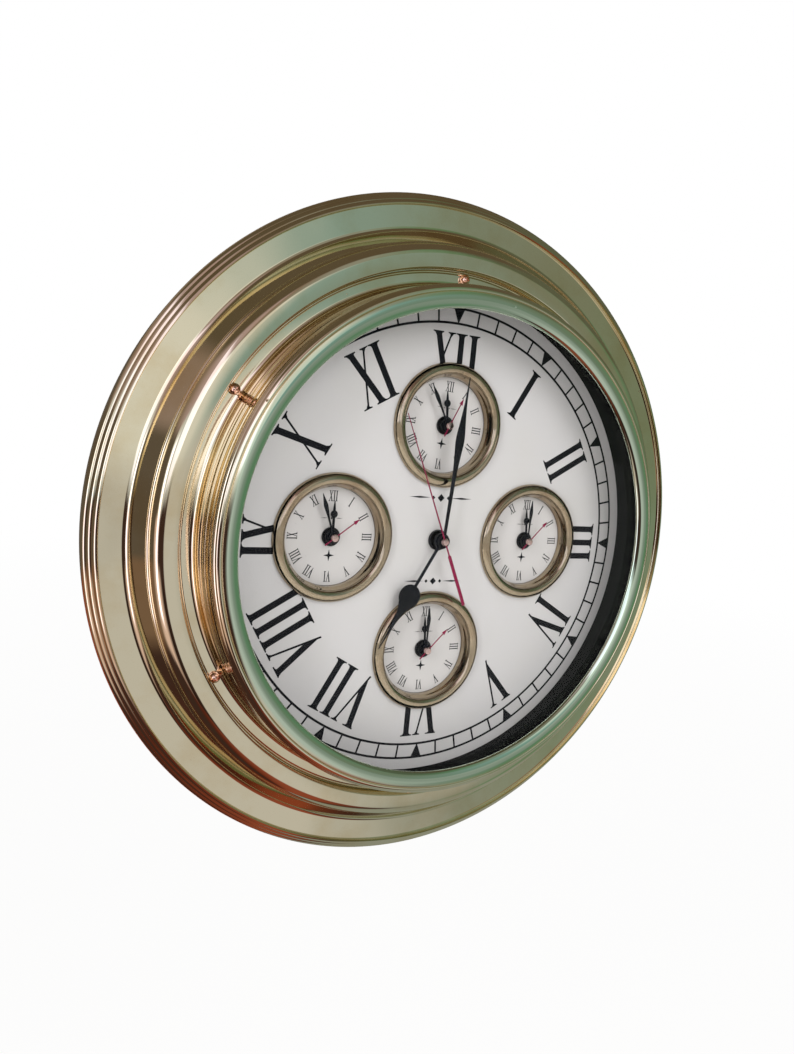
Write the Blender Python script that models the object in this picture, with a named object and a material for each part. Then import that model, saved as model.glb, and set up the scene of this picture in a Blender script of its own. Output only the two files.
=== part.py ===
"""World time clock: a round brass wall clock with a large dial and four small clocks let into it.

Every outline is in millimetres. A height is measured from the wall towards the viewer, so it lies
along -Y, and the model has XII at +Z with the centre of its back at the origin.
"""
from math import acos, cos, pi, radians, sin, sqrt

import bmesh
import bpy
from mathutils import Matrix, Vector

MM = 0.001

# Clearances between pieces that touch, and between the stand-in discs of two meshed wheels
FIT = 0.3
MESH = 0.3

# How far a cutter runs past the faces that it cuts
OVERRUN = 1.0

# Back cover, its screws and its keyhole
COVER_THICKNESS = 1.4
COVER_SCREWS = 6
COVER_SCREW_SHANK = 1.25
COVER_SCREW_TIP = 2.0
KEYHOLE_HEAD = 6.5
KEYHOLE_SLOT = 5.6
KEYHOLE_TRAVEL = 12.0
KEYHOLE_FROM_SCREWS = 20.0

# Quartz movements
MOVEMENT_SIZE = 56.0
MOVEMENT_DEPTH = 15.5
MOVEMENT_WALL = 1.2
MOVEMENT_SPACING = 6.6
CELL_RADIUS = 7.0
CELL_LENGTH = 50.5
CELL_NUB_RADIUS = 2.7
CELL_NUB_LENGTH = 1.3
CONTACT_SIZE = 8.0
BUSH_RADIUS = 4.0
NUT_FLATS = 12.0
MAIN_NUT_THICKNESS = 2.2
SMALL_NUT_THICKNESS = 1.6
HOUR_PIPE_RADIUS = 2.6
HOUR_PIPE_WALL = 0.55
MINUTE_PIPE_WALL = 0.85
PIVOT_RADIUS = 0.5
BEARING_DEPTH = 0.9
STEM_RADIUS = 0.8
STEM_REACH = 3.0
KNOB_RADIUS = 4.5
KNOB_THICKNESS = 2.2
KNOB_ROOM = 1.3

# Wheels of the main movement: tooth counts, distances between arbors and where the arbors lie
WHEEL_THICKNESS = 1.0
LEVEL_PITCH = 2.0
FIRST_LEVEL = 0.7
THIRD_DISTANCE = 9.0
MOTION_DISTANCE = 10.0
STEP_DISTANCE = 9.6
ROTOR_DISTANCE = 7.0
THIRD_ANGLE = 60.0
MOTION_ANGLE = 300.0
STEP_ANGLE = 0.0
ROTOR_PINION_TEETH = 8
STEP_WHEEL_TEETH = 48
STEP_PINION_TEETH = 8
SECOND_WHEEL_TEETH = 40
SECOND_PINION_TEETH = 8
THIRD_WHEEL_TEETH = 60
THIRD_PINION_TEETH = 8
CENTRE_WHEEL_TEETH = 64
CANNON_TEETH = 12
MOTION_WHEEL_TEETH = 36
MOTION_PINION_TEETH = 10
HOUR_WHEEL_TEETH = 40
MAGNET_RADIUS = 2.2
MAGNET_LENGTH = 2.6
MAGNET_RISE = 0.6
STATOR_THICKNESS = 1.2
STATOR_HALF_WIDTH = 19.0
STATOR_LEG = 6.0
STATOR_RIM = 1.1
COIL_RADIUS = 2.9
COIL_LENGTH = 24.0
CORE_WIDTH = 3.0
CORE_THICKNESS = 1.0
CORE_SETBACK = 0.5
POST_RADIUS = 2.0
BOARD_WIDTH = 16.5
BOARD_HEIGHT = 22.0
BOARD_THICKNESS = 1.0

# Small clocks
SMALL_DIAL_RADIUS = 25.8
SMALL_DIAL_THICKNESS = 1.0
SMALL_DIAL_SINK = 4.2
SMALL_BEZEL_WALL = 4.2
SMALL_BEZEL_LAP = 3.54
SMALL_BEZEL_CREST = 3.5
SMALL_BEVEL_WIDTH = 1.5
SMALL_BEVEL_DROP = 1.9
SMALL_LIP_DROP = 1.0
SMALL_LEDGE_WIDTH = 6.1
SMALL_LEDGE_THICKNESS = 1.0
FOOT_MARGIN = 0.8

# Dial, sleeve and glass
NECK_BORE = 132.7
DIAL_THICKNESS = 2.0
DIAL_LAP = 1.6
SLEEVE_WALL = 1.0
SLEEVE_LENGTH = 22.4
GLASS_THICKNESS = 2.5

# Bezel ring and its screws
FOOT_THICKNESS = 0.8
NECK_FOOT_WALL = 2.1
NECK_TOP_WALL = 0.8
NECK_FILLET = 3.0
LIP_RISE = 4.2
LIP_WIDTH = 11.0
LIP_CREST = 6.0
LIP_EDGE_DROP = 2.6
LIP_BEAD_WIDTH = 3.0
LIP_BEAD_DROP = 1.0
LIP_HOOK = 2.0
BEZEL_SCREWS = 6
BEZEL_SCREW_SHANK = 1.5
BEZEL_SCREW_HEAD = 2.8
BEZEL_SCREW_DOME = 3.0
BEZEL_SCREW_TIP = 1.2
BEZEL_SCREW_MARGIN = 0.7
FILLET_UNDER_SCREW = 1.0

# Wall flange
SHEET = 0.8
RECESS_DEPTH = 6.5
SHOULDER_FLAT = 6.8
SHOULDER_ROUND = 6.3
COVE_ROUND = 10.0
BAND_WIDTH = 10.8
BAND_RISE = 2.2
BEADS = 3
BEAD_WIDTH = 2.2
BEAD_DROP = 2.2
RIM_TAPER = 2.0
BACK_LAP = 6.2
SEAT_LAP = 7.4

# Hands: how far they reach, how thick they are and the room between them
HAND_THICKNESS = 0.5
SMALL_HAND_THICKNESS = 0.4
MAIN_HAND_RISE = 1.7
MAIN_HAND_SPACING = 1.2
SMALL_HAND_RISE = 2.7
SMALL_HAND_SPACING = 1.1
COLLET_HEIGHT = 1.0
COLLET_WALL = 0.8
COLLET_STEP = 0.1
SMALL_HUB_WALL = 0.6
CAP_RADIUS = 1.8
CAP_HEIGHT = 0.9
HOUR_REACH = 67.5
HOUR_ARM = 0.9
HOUR_BLOB_AT = 35.0
HOUR_BLOB_RADIUS = 6.6
HOUR_TAPER = 8.4
MINUTE_REACH = 89.7
MINUTE_ROOT = 0.9
MINUTE_WAIST = 1.3
MINUTE_BELLY_AT = 56.0
MINUTE_BELLY = 2.7
MINUTE_SWELL = 18.0
SECOND_REACH = 73.6
SECOND_NEEDLE = 0.4
SECOND_TAIL = 38.6
SECOND_TAIL_HALF = 0.95
SMALL_TIP_GAP = 1.8
SMALL_HOUR_REACH = 18.8
SMALL_HOUR_ARM = 0.7
SMALL_HOUR_BLOB_AT = 12.0
SMALL_HOUR_BLOB_RADIUS = 2.0
SMALL_MINUTE_ROOT = 0.45
SMALL_WAIST = 0.55
SMALL_BELLY_AT = 17.5
SMALL_BELLY = 1.2
SMALL_SWELL = 6.0
SMALL_SECOND_REACH = 16.5
SMALL_SECOND_TAIL = 6.5
SMALL_NEEDLE = 0.3
SMALL_ARROW_HALF = 1.1
SMALL_ARROW_LENGTH = 3.2
POINT = 0.15

# Facets round one turn
CASE_FACETS = 48
SMALL_FACETS = 28
PIPE_FACETS = 12
SCREW_FACETS = 10

# Where each small clock sits on the dial, in degrees clockwise from XII
SMALL_CLOCKS = {"top": 0.0, "right": 90.0, "bottom": 180.0, "left": 270.0}

# How each clock's hands stand, in degrees clockwise from XII: hour, minute, second
HANDS_AT = {
    "main": (209.6, 4.2, 335.4),
    "top": (354.0, 330.0, 25.6),
    "right": (355.0, 0.9, 43.8),
    "bottom": (355.5, 359.9, 44.4),
    "left": (358.3, 340.5, 53.1),
}

# Heights, worked out from the wall towards the viewer
SEAT_LOW = COVER_THICKNESS + FIT
SMALL_REAR = COVER_THICKNESS + KNOB_ROOM + KNOB_THICKNESS + FIT
SMALL_FRONT = SMALL_REAR + MOVEMENT_DEPTH
LEDGE_BACK = SMALL_FRONT + FIT
LEDGE_FRONT = LEDGE_BACK + SMALL_LEDGE_THICKNESS
SMALL_DIAL_BACK = LEDGE_FRONT + FIT
SMALL_DIAL_FACE = SMALL_DIAL_BACK + SMALL_DIAL_THICKNESS
DIAL_FACE = SMALL_DIAL_FACE + SMALL_DIAL_SINK
DIAL_BACK = DIAL_FACE - DIAL_THICKNESS
MAIN_FRONT = DIAL_BACK - FIT
MAIN_REAR = MAIN_FRONT - MOVEMENT_DEPTH
FLOOR_BACK = DIAL_FACE + FIT
FLOOR_FRONT = FLOOR_BACK + SHEET
FOOT_BACK = FLOOR_FRONT + FIT
FOOT_FRONT = FOOT_BACK + FOOT_THICKNESS
SHOULDER_TOP = FLOOR_FRONT + RECESS_DEPTH
CREASE = SHOULDER_TOP - SHOULDER_ROUND
BAND_FOOT = CREASE - COVE_ROUND
BAND_TOP = BAND_FOOT + BAND_RISE
RIM_WIDEST = BAND_TOP - BEADS * BEAD_DROP
SLEEVE_BACK = DIAL_FACE + FIT
SLEEVE_FRONT = SLEEVE_BACK + SLEEVE_LENGTH
GLASS_BACK = SLEEVE_FRONT + FIT
GLASS_FRONT = GLASS_BACK + GLASS_THICKNESS
LIP_BACK = GLASS_FRONT + FIT
LIP_TOP = LIP_BACK + LIP_RISE
LIP_EDGE = LIP_TOP - LIP_EDGE_DROP
SMALL_BEZEL_BACK = DIAL_FACE + FIT
SMALL_BEZEL_TOP = DIAL_FACE + SMALL_BEZEL_CREST
SMALL_LIP = DIAL_FACE - SMALL_LIP_DROP

# Heights of the hands, from the small dials up and then over the small clocks
SMALL_HOUR = SMALL_DIAL_FACE + SMALL_HAND_RISE
SMALL_MINUTE = SMALL_HOUR + SMALL_HAND_THICKNESS + SMALL_HAND_SPACING
SMALL_SECOND = SMALL_MINUTE + SMALL_HAND_THICKNESS + SMALL_HAND_SPACING
SMALL_CAP_TOP = SMALL_SECOND + SMALL_HAND_THICKNESS + CAP_HEIGHT
SMALL_BUSH_TOP = SMALL_HOUR - FIT
MAIN_HOUR = max(SMALL_BEZEL_TOP, SMALL_CAP_TOP) + MAIN_HAND_RISE
MAIN_MINUTE = MAIN_HOUR + HAND_THICKNESS + MAIN_HAND_SPACING
MAIN_SECOND = MAIN_MINUTE + HAND_THICKNESS + MAIN_HAND_SPACING
MAIN_BUSH_TOP = MAIN_HOUR - COLLET_HEIGHT - FIT

# Radii, worked out from the middle of a clock outwards
HOUR_PIPE_BORE = HOUR_PIPE_RADIUS - HOUR_PIPE_WALL
MINUTE_PIPE_RADIUS = HOUR_PIPE_BORE - FIT
MINUTE_PIPE_BORE = MINUTE_PIPE_RADIUS - MINUTE_PIPE_WALL
ARBOR_RADIUS = MINUTE_PIPE_BORE - FIT
BUSH_BORE = HOUR_PIPE_RADIUS + FIT
BUSH_HOLE = BUSH_RADIUS + FIT
SMALL_OPENING = SMALL_DIAL_RADIUS + FIT
SMALL_SKIRT = SMALL_OPENING + SMALL_BEZEL_WALL
SMALL_HOLE = SMALL_SKIRT + FIT
SMALL_BEZEL_RADIUS = SMALL_SKIRT + SMALL_BEZEL_LAP
SMALL_DISTANCE = MOVEMENT_SIZE + MOVEMENT_SPACING
SMALL_MINUTE_REACH = SMALL_DIAL_RADIUS - SMALL_TIP_GAP
NECK_FILL = NECK_BORE - FIT
FLOOR_HOLE = NECK_BORE + SHEET + FIT
FILLET_FOOT = NECK_BORE + NECK_FOOT_WALL + NECK_FILLET
BEZEL_SCREW_CIRCLE = FILLET_FOOT - FILLET_UNDER_SCREW + BEZEL_SCREW_HEAD
FOOT_RADIUS = BEZEL_SCREW_CIRCLE + BEZEL_SCREW_HEAD + BEZEL_SCREW_MARGIN
DIAL_RADIUS = FOOT_RADIUS + DIAL_LAP
RECESS_RADIUS = FOOT_RADIUS + FIT
SHOULDER_CENTRE = RECESS_RADIUS + SHOULDER_FLAT
COVE_CENTRE = SHOULDER_CENTRE + SHOULDER_ROUND + COVE_ROUND
BAND_OUTER = COVE_CENTRE + BAND_WIDTH
RIM_RADIUS = BAND_OUTER + BEADS * BEAD_WIDTH
BACK_RADIUS = RIM_RADIUS - RIM_TAPER
COVER_SEAT = BACK_RADIUS - BACK_LAP
COVER_RADIUS = COVER_SEAT - FIT
SEAT_RADIUS = COVER_SEAT - SEAT_LAP
COVER_SCREW_CIRCLE = (COVER_SEAT + SEAT_RADIUS) / 2

# Inside a movement, from its centre
HALF = MOVEMENT_SIZE / 2
INSIDE = HALF - MOVEMENT_WALL
TRAY_TOP = -INSIDE + 2 * (CELL_RADIUS + FIT)
ROOM_BOTTOM = TRAY_TOP + MOVEMENT_WALL
CELL_AT = -INSIDE + FIT + CELL_RADIUS
CASE_FLOOR = MAIN_FRONT - MOVEMENT_WALL
LID_FRONT = MAIN_REAR + MOVEMENT_WALL
PIVOT_LOW = LID_FRONT - BEARING_DEPTH + FIT
PIVOT_HIGH = CASE_FLOOR + BEARING_DEPTH - FIT
LEVELS = [LID_FRONT + FIRST_LEVEL + LEVEL_PITCH * i for i in range(6)]
STATOR_LOW = LEVELS[1]
STATOR_TOP = STATOR_LOW + STATOR_THICKNESS
CORE_TOP = STATOR_TOP + CORE_THICKNESS
COIL_AT = INSIDE - FIT - COIL_RADIUS

FINISHES = {
    "polished_brass": ("#d8bd7a", 0.18, 1.0),
    "satin_steel": ("#a9abad", 0.35, 1.0),
    "black_paint": ("#1c1c1e", 0.6, 0.0),
    "dial_paint": ("#c9c4c4", 0.5, 0.0),
    "clear_glass": ("#e8eeee", 0.03, 0.0),
    "black_plastic": ("#242426", 0.45, 0.0),
    "white_plastic": ("#dcdcd6", 0.4, 0.0),
    "copper_wire": ("#b06a3a", 0.35, 1.0),
    "dark_hand": ("#222a33", 0.3, 0.0),
    "crimson_hand": ("#86203f", 0.35, 0.0),
    "cell_jacket": ("#3a4a66", 0.35, 0.0),
}


def spot(x, height, z):
    """A point in metres from millimetres, with height measured towards the viewer."""
    return Vector((x * MM, -height * MM, z * MM))


def polar(radius, angle):
    """The (x, z) of a point at a clock angle, in degrees clockwise from XII."""
    return radius * sin(radians(angle)), radius * cos(radians(angle))


def around(count, radius):
    """Places (x, z) spread evenly on a circle, the first at XII."""
    return [polar(radius, 360 * i / count) for i in range(count)]


def arc(centre, radius, start, end, steps, rise=None):
    """Points of an arc, from start to end in degrees, turning from the first axis to the second.

    With a rise, the arc is part of an ellipse that is that tall instead of round.
    """
    tall = radius if rise is None else rise
    angles = [radians(start + (end - start) * i / steps) for i in range(steps + 1)]
    return [(centre[0] + radius * cos(a), centre[1] + tall * sin(a)) for a in angles]


def turned(outline, facets, centre=(0.0, 0.0)):
    """Spin a (radius, height) outline about a line through centre that runs front to back."""
    shape = bmesh.new()
    points = [shape.verts.new(spot(radius, height, 0)) for radius, height in outline]
    links = list(zip(points, points[1:]))
    if min(radius for radius, _ in outline) > 0:
        links.append((points[-1], points[0]))
    edges = [shape.edges.new(link) for link in links]
    bmesh.ops.spin(shape, geom=points + edges, cent=(0, 0, 0), axis=(0, 1, 0), angle=2 * pi,
                   steps=facets, use_merge=True)
    bmesh.ops.remove_doubles(shape, verts=shape.verts, dist=MM / 1000)
    bmesh.ops.recalc_face_normals(shape, faces=shape.faces)
    bmesh.ops.translate(shape, verts=shape.verts, vec=spot(centre[0], 0, centre[1]))
    return shape


def disc(radius, low, high, facets, centre=(0.0, 0.0)):
    """A plain round solid between two heights."""
    return turned([(0, low), (radius, low), (radius, high), (0, high)], facets, centre)


def hole(radius, low, high, facets, centre=(0.0, 0.0)):
    """A round cutter that runs past both heights."""
    return disc(radius, low - OVERRUN, high + OVERRUN, facets, centre)


def tube(bore, radius, low, high, facets, centre=(0.0, 0.0)):
    """A round solid with a bore, between two heights."""
    outline = [(bore, low), (radius, low), (radius, high), (bore, high)]
    return turned(outline, facets, centre)


def plate(outline, low, high):
    """A flat solid with an (x, z) outline, between two heights."""
    shape = bmesh.new()
    face = shape.faces.new([shape.verts.new(spot(x, low, z)) for x, z in outline])
    grown = bmesh.ops.extrude_face_region(shape, geom=[face])
    moved = [item for item in grown["geom"] if isinstance(item, bmesh.types.BMVert)]
    bmesh.ops.translate(shape, verts=moved, vec=spot(0, high - low, 0))
    bmesh.ops.recalc_face_normals(shape, faces=shape.faces)
    return shape


def block(left, right, bottom, top, low, high):
    """A square-edged solid from its sides, as seen from the front."""
    return plate([(left, bottom), (right, bottom), (right, top), (left, top)], low, high)


def drum(outline, facets, height, z):
    """Spin a (radius, x) outline about a line that runs from left to right."""
    shape = turned([(radius, -x) for radius, x in outline], facets)
    bmesh.ops.rotate(shape, verts=shape.verts, cent=(0, 0, 0),
                     matrix=Matrix.Rotation(-pi / 2, 3, "Z"))
    bmesh.ops.translate(shape, verts=shape.verts, vec=spot(0, height, z))
    return shape


def gather(shapes):
    """One shape from several that don't touch each other."""
    whole = bmesh.new()
    for shape in shapes:
        piece = bpy.data.meshes.new("piece")
        shape.to_mesh(piece)
        whole.from_mesh(piece)
        bpy.data.meshes.remove(piece)
        shape.free()
    return whole


def colour(hex_code):
    """Linear red, green, blue and alpha from an sRGB hex code."""
    parts = [int(hex_code[i:i + 2], 16) / 255 for i in (1, 3, 5)]
    linear = [p / 12.92 if p <= 0.04045 else ((p + 0.055) / 1.055) ** 2.4 for p in parts]
    return (*linear, 1.0)


def finish(owner, name):
    """A material of the piece's own, from the list of finishes."""
    code, roughness, metallic = FINISHES[name]
    material = bpy.data.materials.new(f"{owner}_{name}")
    material.use_nodes = True
    shader = material.node_tree.nodes["Principled BSDF"]
    shader.inputs["Base Color"].default_value = colour(code)
    shader.inputs["Roughness"].default_value = roughness
    shader.inputs["Metallic"].default_value = metallic
    return material


def piece(name, shape, finish_name, centre=None, angle=0.0, at=(0.0, 0.0), smooth=True):
    """A named solid whose origin lies at the (x, z) that it turns about, turned to its angle."""
    mesh = bpy.data.meshes.new(name)
    shape.to_mesh(mesh)
    shape.free()
    mesh.materials.append(finish(name, finish_name))
    if smooth:
        mesh.shade_smooth()
        mesh.set_sharp_from_angle(angle=radians(35))
    thing = bpy.data.objects.new(name, mesh)
    thing.parent = centre
    thing.location = spot(at[0], 0, at[1])
    thing.rotation_euler = (0.0, radians(angle), 0.0)
    bpy.context.scene.collection.objects.link(thing)
    return thing


def carve(thing, shape, operation="DIFFERENCE"):
    """Cut a shape out of a piece, drawn about the piece's own origin."""
    mesh = bpy.data.meshes.new("tool")
    shape.to_mesh(mesh)
    shape.free()
    tool = bpy.data.objects.new(f"tool_{thing.name}_{len(thing.modifiers)}", mesh)
    tool.parent = thing
    tool.hide_render = True
    tool.display_type = "WIRE"
    bpy.context.scene.collection.objects.link(tool)
    change = thing.modifiers.new(operation.title(), "BOOLEAN")
    change.operation = operation
    change.solver = "EXACT"
    change.object = tool


def join(thing, shape):
    """Join a shape to a piece, drawn about the piece's own origin."""
    carve(thing, shape, "UNION")


def clock_centre(name, angle=None):
    """The empty that a clock's pieces hang on. Without an angle it's the middle of the dial."""
    centre = bpy.data.objects.new(f"{name}_centre", None)
    x, z = (0.0, 0.0) if angle is None else polar(SMALL_DISTANCE, angle)
    centre.location = spot(x, 0, z)
    bpy.context.scene.collection.objects.link(centre)
    return centre


# Case

def wall_flange():
    """Spun brass body: beaded rim, flat band, cove and shoulder, with a recess for the bezel."""
    rim = [(RIM_RADIUS - BEAD_WIDTH * i, RIM_WIDEST + BEAD_DROP * i) for i in range(BEADS + 1)]
    cove = arc((COVE_CENTRE, CREASE), COVE_ROUND, 270, 180, 4)
    shoulder = arc((SHOULDER_CENTRE, CREASE), SHOULDER_ROUND, 0, 90, 3)[1:]
    recess = [
        (RECESS_RADIUS, SHOULDER_TOP),
        (RECESS_RADIUS, FLOOR_FRONT),
        (FLOOR_HOLE, FLOOR_FRONT),
        (FLOOR_HOLE, FLOOR_BACK),
        (RECESS_RADIUS + SHEET, FLOOR_BACK),
        (RECESS_RADIUS + SHEET, SHOULDER_TOP - SHEET),
    ]
    under_shoulder = arc((SHOULDER_CENTRE, CREASE), SHOULDER_ROUND - SHEET, 90, 0, 2)
    under_cove = arc((COVE_CENTRE, CREASE), COVE_ROUND + SHEET, 180, 270, 2)[1:]
    under_rim = [
        (BAND_OUTER - SHEET, BAND_TOP - SHEET),
        (RIM_RADIUS - SHEET, RIM_WIDEST - SHEET),
        (BACK_RADIUS - SHEET, SHEET),
        (COVER_SEAT + SHEET, SHEET),
        (COVER_SEAT + SHEET, SEAT_LOW + SHEET),
        (SEAT_RADIUS, SEAT_LOW + SHEET),
        (SEAT_RADIUS, SEAT_LOW),
        (COVER_SEAT, SEAT_LOW),
        (COVER_SEAT, 0),
        (BACK_RADIUS, 0),
    ]
    outline = rim + cove + shoulder + recess + under_shoulder + under_cove + under_rim
    flange = piece("wall_flange", turned(outline, CASE_FACETS), "polished_brass")
    bezel_holes = [
        hole(BEZEL_SCREW_SHANK + FIT, FLOOR_BACK, FLOOR_FRONT, SCREW_FACETS, at)
        for at in around(BEZEL_SCREWS, BEZEL_SCREW_CIRCLE)
    ]
    cover_holes = [
        hole(COVER_SCREW_SHANK + FIT, SEAT_LOW, SEAT_LOW + SHEET, SCREW_FACETS, at)
        for at in around(COVER_SCREWS, COVER_SCREW_CIRCLE)
    ]
    carve(flange, gather(bezel_holes + cover_holes))


def bezel_ring():
    """Spun brass bezel: a foot in the flange's recess, a straight neck and a rolled lip."""
    top_wall = NECK_BORE + NECK_TOP_WALL
    fillet = arc((FILLET_FOOT, FOOT_FRONT + NECK_FILLET), NECK_FILLET, 270, 180, 3)
    bead = LIP_TOP - LIP_BEAD_DROP
    crest = top_wall - LIP_CREST
    edge = NECK_BORE - LIP_WIDTH
    rise = top_wall - LIP_BEAD_WIDTH - crest
    outline = [
        (NECK_BORE, FOOT_BACK),
        (FOOT_RADIUS, FOOT_BACK),
        (FOOT_RADIUS, FOOT_FRONT),
        *fillet,
        (top_wall, LIP_BACK),
        (top_wall - LIP_BEAD_WIDTH / 3, bead),
        *arc((crest, bead), rise, 0, 90, 2, LIP_BEAD_DROP),
        *arc((crest, LIP_EDGE), crest - edge, 90, 180, 3, LIP_EDGE_DROP)[1:],
        (edge + LIP_HOOK, LIP_BACK),
        (NECK_BORE, LIP_BACK),
    ]
    bezel = piece("bezel_ring", turned(outline, CASE_FACETS), "polished_brass")
    holes = [
        hole(BEZEL_SCREW_SHANK + FIT, FOOT_BACK, FOOT_FRONT, SCREW_FACETS, at)
        for at in around(BEZEL_SCREWS, BEZEL_SCREW_CIRCLE)
    ]
    carve(bezel, gather(holes))


def bezel_screws():
    """Domed screws that pull the dial and the bezel's foot together on the flange's floor."""
    seat = FOOT_FRONT + FIT
    tip = DIAL_BACK - BEZEL_SCREW_TIP
    quarter = [radians(30 * i) for i in range(3)]
    dome = [(BEZEL_SCREW_HEAD * cos(a), seat + BEZEL_SCREW_DOME * sin(a)) for a in quarter]
    outline = [
        (0, tip),
        (BEZEL_SCREW_SHANK, tip),
        (BEZEL_SCREW_SHANK, seat),
        *dome,
        (0, seat + BEZEL_SCREW_DOME),
    ]
    for number, at in enumerate(around(BEZEL_SCREWS, BEZEL_SCREW_CIRCLE), start=1):
        piece(f"bezel_screw_{number}", turned(outline, SCREW_FACETS), "polished_brass", at=at)


def glass_and_sleeve():
    """The glass under the lip, and the black sleeve that holds it off the dial."""
    wall = tube(NECK_FILL - SLEEVE_WALL, NECK_FILL, SLEEVE_BACK, SLEEVE_FRONT, CASE_FACETS)
    piece("inner_sleeve", wall, "black_paint")
    piece("main_glass", disc(NECK_FILL, GLASS_BACK, GLASS_FRONT, CASE_FACETS), "clear_glass")


def main_dial():
    """Painted metal dial that carries all five movements, let through for the small clocks."""
    face = disc(DIAL_RADIUS, DIAL_BACK, DIAL_FACE, CASE_FACETS)
    dial = piece("main_dial", face, "dial_paint")
    small = [polar(SMALL_DISTANCE, angle) for angle in SMALL_CLOCKS.values()]
    holes = [hole(SMALL_HOLE, DIAL_BACK, DIAL_FACE, SMALL_FACETS, at) for at in small]
    holes.append(hole(BUSH_HOLE, DIAL_BACK, DIAL_FACE, PIPE_FACETS))
    screw = BEZEL_SCREW_SHANK + FIT
    places = around(BEZEL_SCREWS, BEZEL_SCREW_CIRCLE)
    holes += [hole(screw, DIAL_BACK, DIAL_FACE, SCREW_FACETS, at) for at in places]
    carve(dial, gather(holes))


def keyhole():
    """The wall screw's head goes in at the round hole, and its shank slides up the slot."""
    low = COVER_SCREW_CIRCLE - KEYHOLE_FROM_SCREWS - KEYHOLE_TRAVEL
    slot = KEYHOLE_SLOT / 2
    turn = 180 * acos(slot / KEYHOLE_HEAD) / pi
    head = arc((0, low), KEYHOLE_HEAD, 180 - turn, 360 + turn, 14)
    end = arc((0, low + KEYHOLE_TRAVEL), slot, 0, 180, 6)
    return plate(head + end, -OVERRUN, COVER_THICKNESS + OVERRUN)


def back_cover():
    """Steel cover, flush with the back, on screws that reach into the flange's seat."""
    plain = disc(COVER_RADIUS, 0, COVER_THICKNESS, CASE_FACETS)
    cover = piece("back_cover", plain, "satin_steel")
    carve(cover, keyhole())
    tip = SEAT_LOW + SHEET + COVER_SCREW_TIP
    screws = [
        disc(COVER_SCREW_SHANK, COVER_THICKNESS / 2, tip, SCREW_FACETS, at)
        for at in around(COVER_SCREWS, COVER_SCREW_CIRCLE)
    ]
    join(cover, gather(screws))


# Parts that all five movements share

def tray(front, rear):
    """The trough for the cell, open at the back, along the bottom of a movement."""
    return block(-INSIDE, INSIDE, -INSIDE, TRAY_TOP, rear - OVERRUN, front - MOVEMENT_WALL)


def cell(front):
    """An AA cell in its tray, with its nub to the right."""
    end = CELL_LENGTH / 2
    neck = end - CELL_NUB_LENGTH
    outline = [(0, -end), (CELL_RADIUS, -end), (CELL_RADIUS, neck), (CELL_NUB_RADIUS, neck),
               (CELL_NUB_RADIUS, end), (0, end)]
    return drum(outline, PIPE_FACETS, front - MOVEMENT_WALL - FIT - CELL_RADIUS, CELL_AT)


def contacts(front, gap):
    """The contacts at both ends of the tray, set into its end walls, a gap short of the cell."""
    height = front - MOVEMENT_WALL - FIT - CELL_RADIUS
    half = CONTACT_SIZE / 2
    near = CELL_LENGTH / 2 + gap
    far = INSIDE + MOVEMENT_WALL / 2
    sides = (CELL_AT - half, CELL_AT + half, height - half, height + half)
    return gather([block(-far, -near, *sides), block(near, far, *sides)])


def bush_nut(name, centre, face, thickness):
    """Hexagon nut that clamps a movement to its dial."""
    radius = NUT_FLATS / 2 / cos(pi / 6)
    low = face + FIT
    hexagon = plate(arc((0, 0), radius, 0, 300, 5), low, low + thickness)
    nut = piece(f"{name}_bush_nut", hexagon, "satin_steel", centre, smooth=False)
    carve(nut, hole(BUSH_HOLE, low, low + thickness, PIPE_FACETS))


# Inside the main movement

def pitch(distance, teeth, others):
    """The radius of a wheel's stand-in disc, just inside its pitch circle."""
    return distance * teeth / (teeth + others) - MESH / 2


def arbor(steps, low, high, low_radius=PIVOT_RADIUS, high_radius=PIVOT_RADIUS):
    """A turned arbor from low to high, with a (radius, low, high) step for each wheel on it."""
    outline = [(0, low), (low_radius, low)]
    for index, (radius, start, end) in enumerate(steps):
        before = low_radius if index == 0 else PIVOT_RADIUS
        outline += [(before, start), (radius, start), (radius, end), (PIVOT_RADIUS, end)]
    outline[-1] = (high_radius, outline[-1][1])
    return turned(outline + [(high_radius, high), (0, high)], PIPE_FACETS)


def at_level(level, radius):
    """A wheel's step on its arbor."""
    return radius, LEVELS[level], LEVELS[level] + WHEEL_THICKNESS


def third_at():
    return polar(THIRD_DISTANCE, THIRD_ANGLE)


def motion_at():
    return polar(MOTION_DISTANCE, MOTION_ANGLE)


def step_at():
    return polar(STEP_DISTANCE, STEP_ANGLE)


def rotor_at():
    return polar(STEP_DISTANCE + ROTOR_DISTANCE, STEP_ANGLE)


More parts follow.
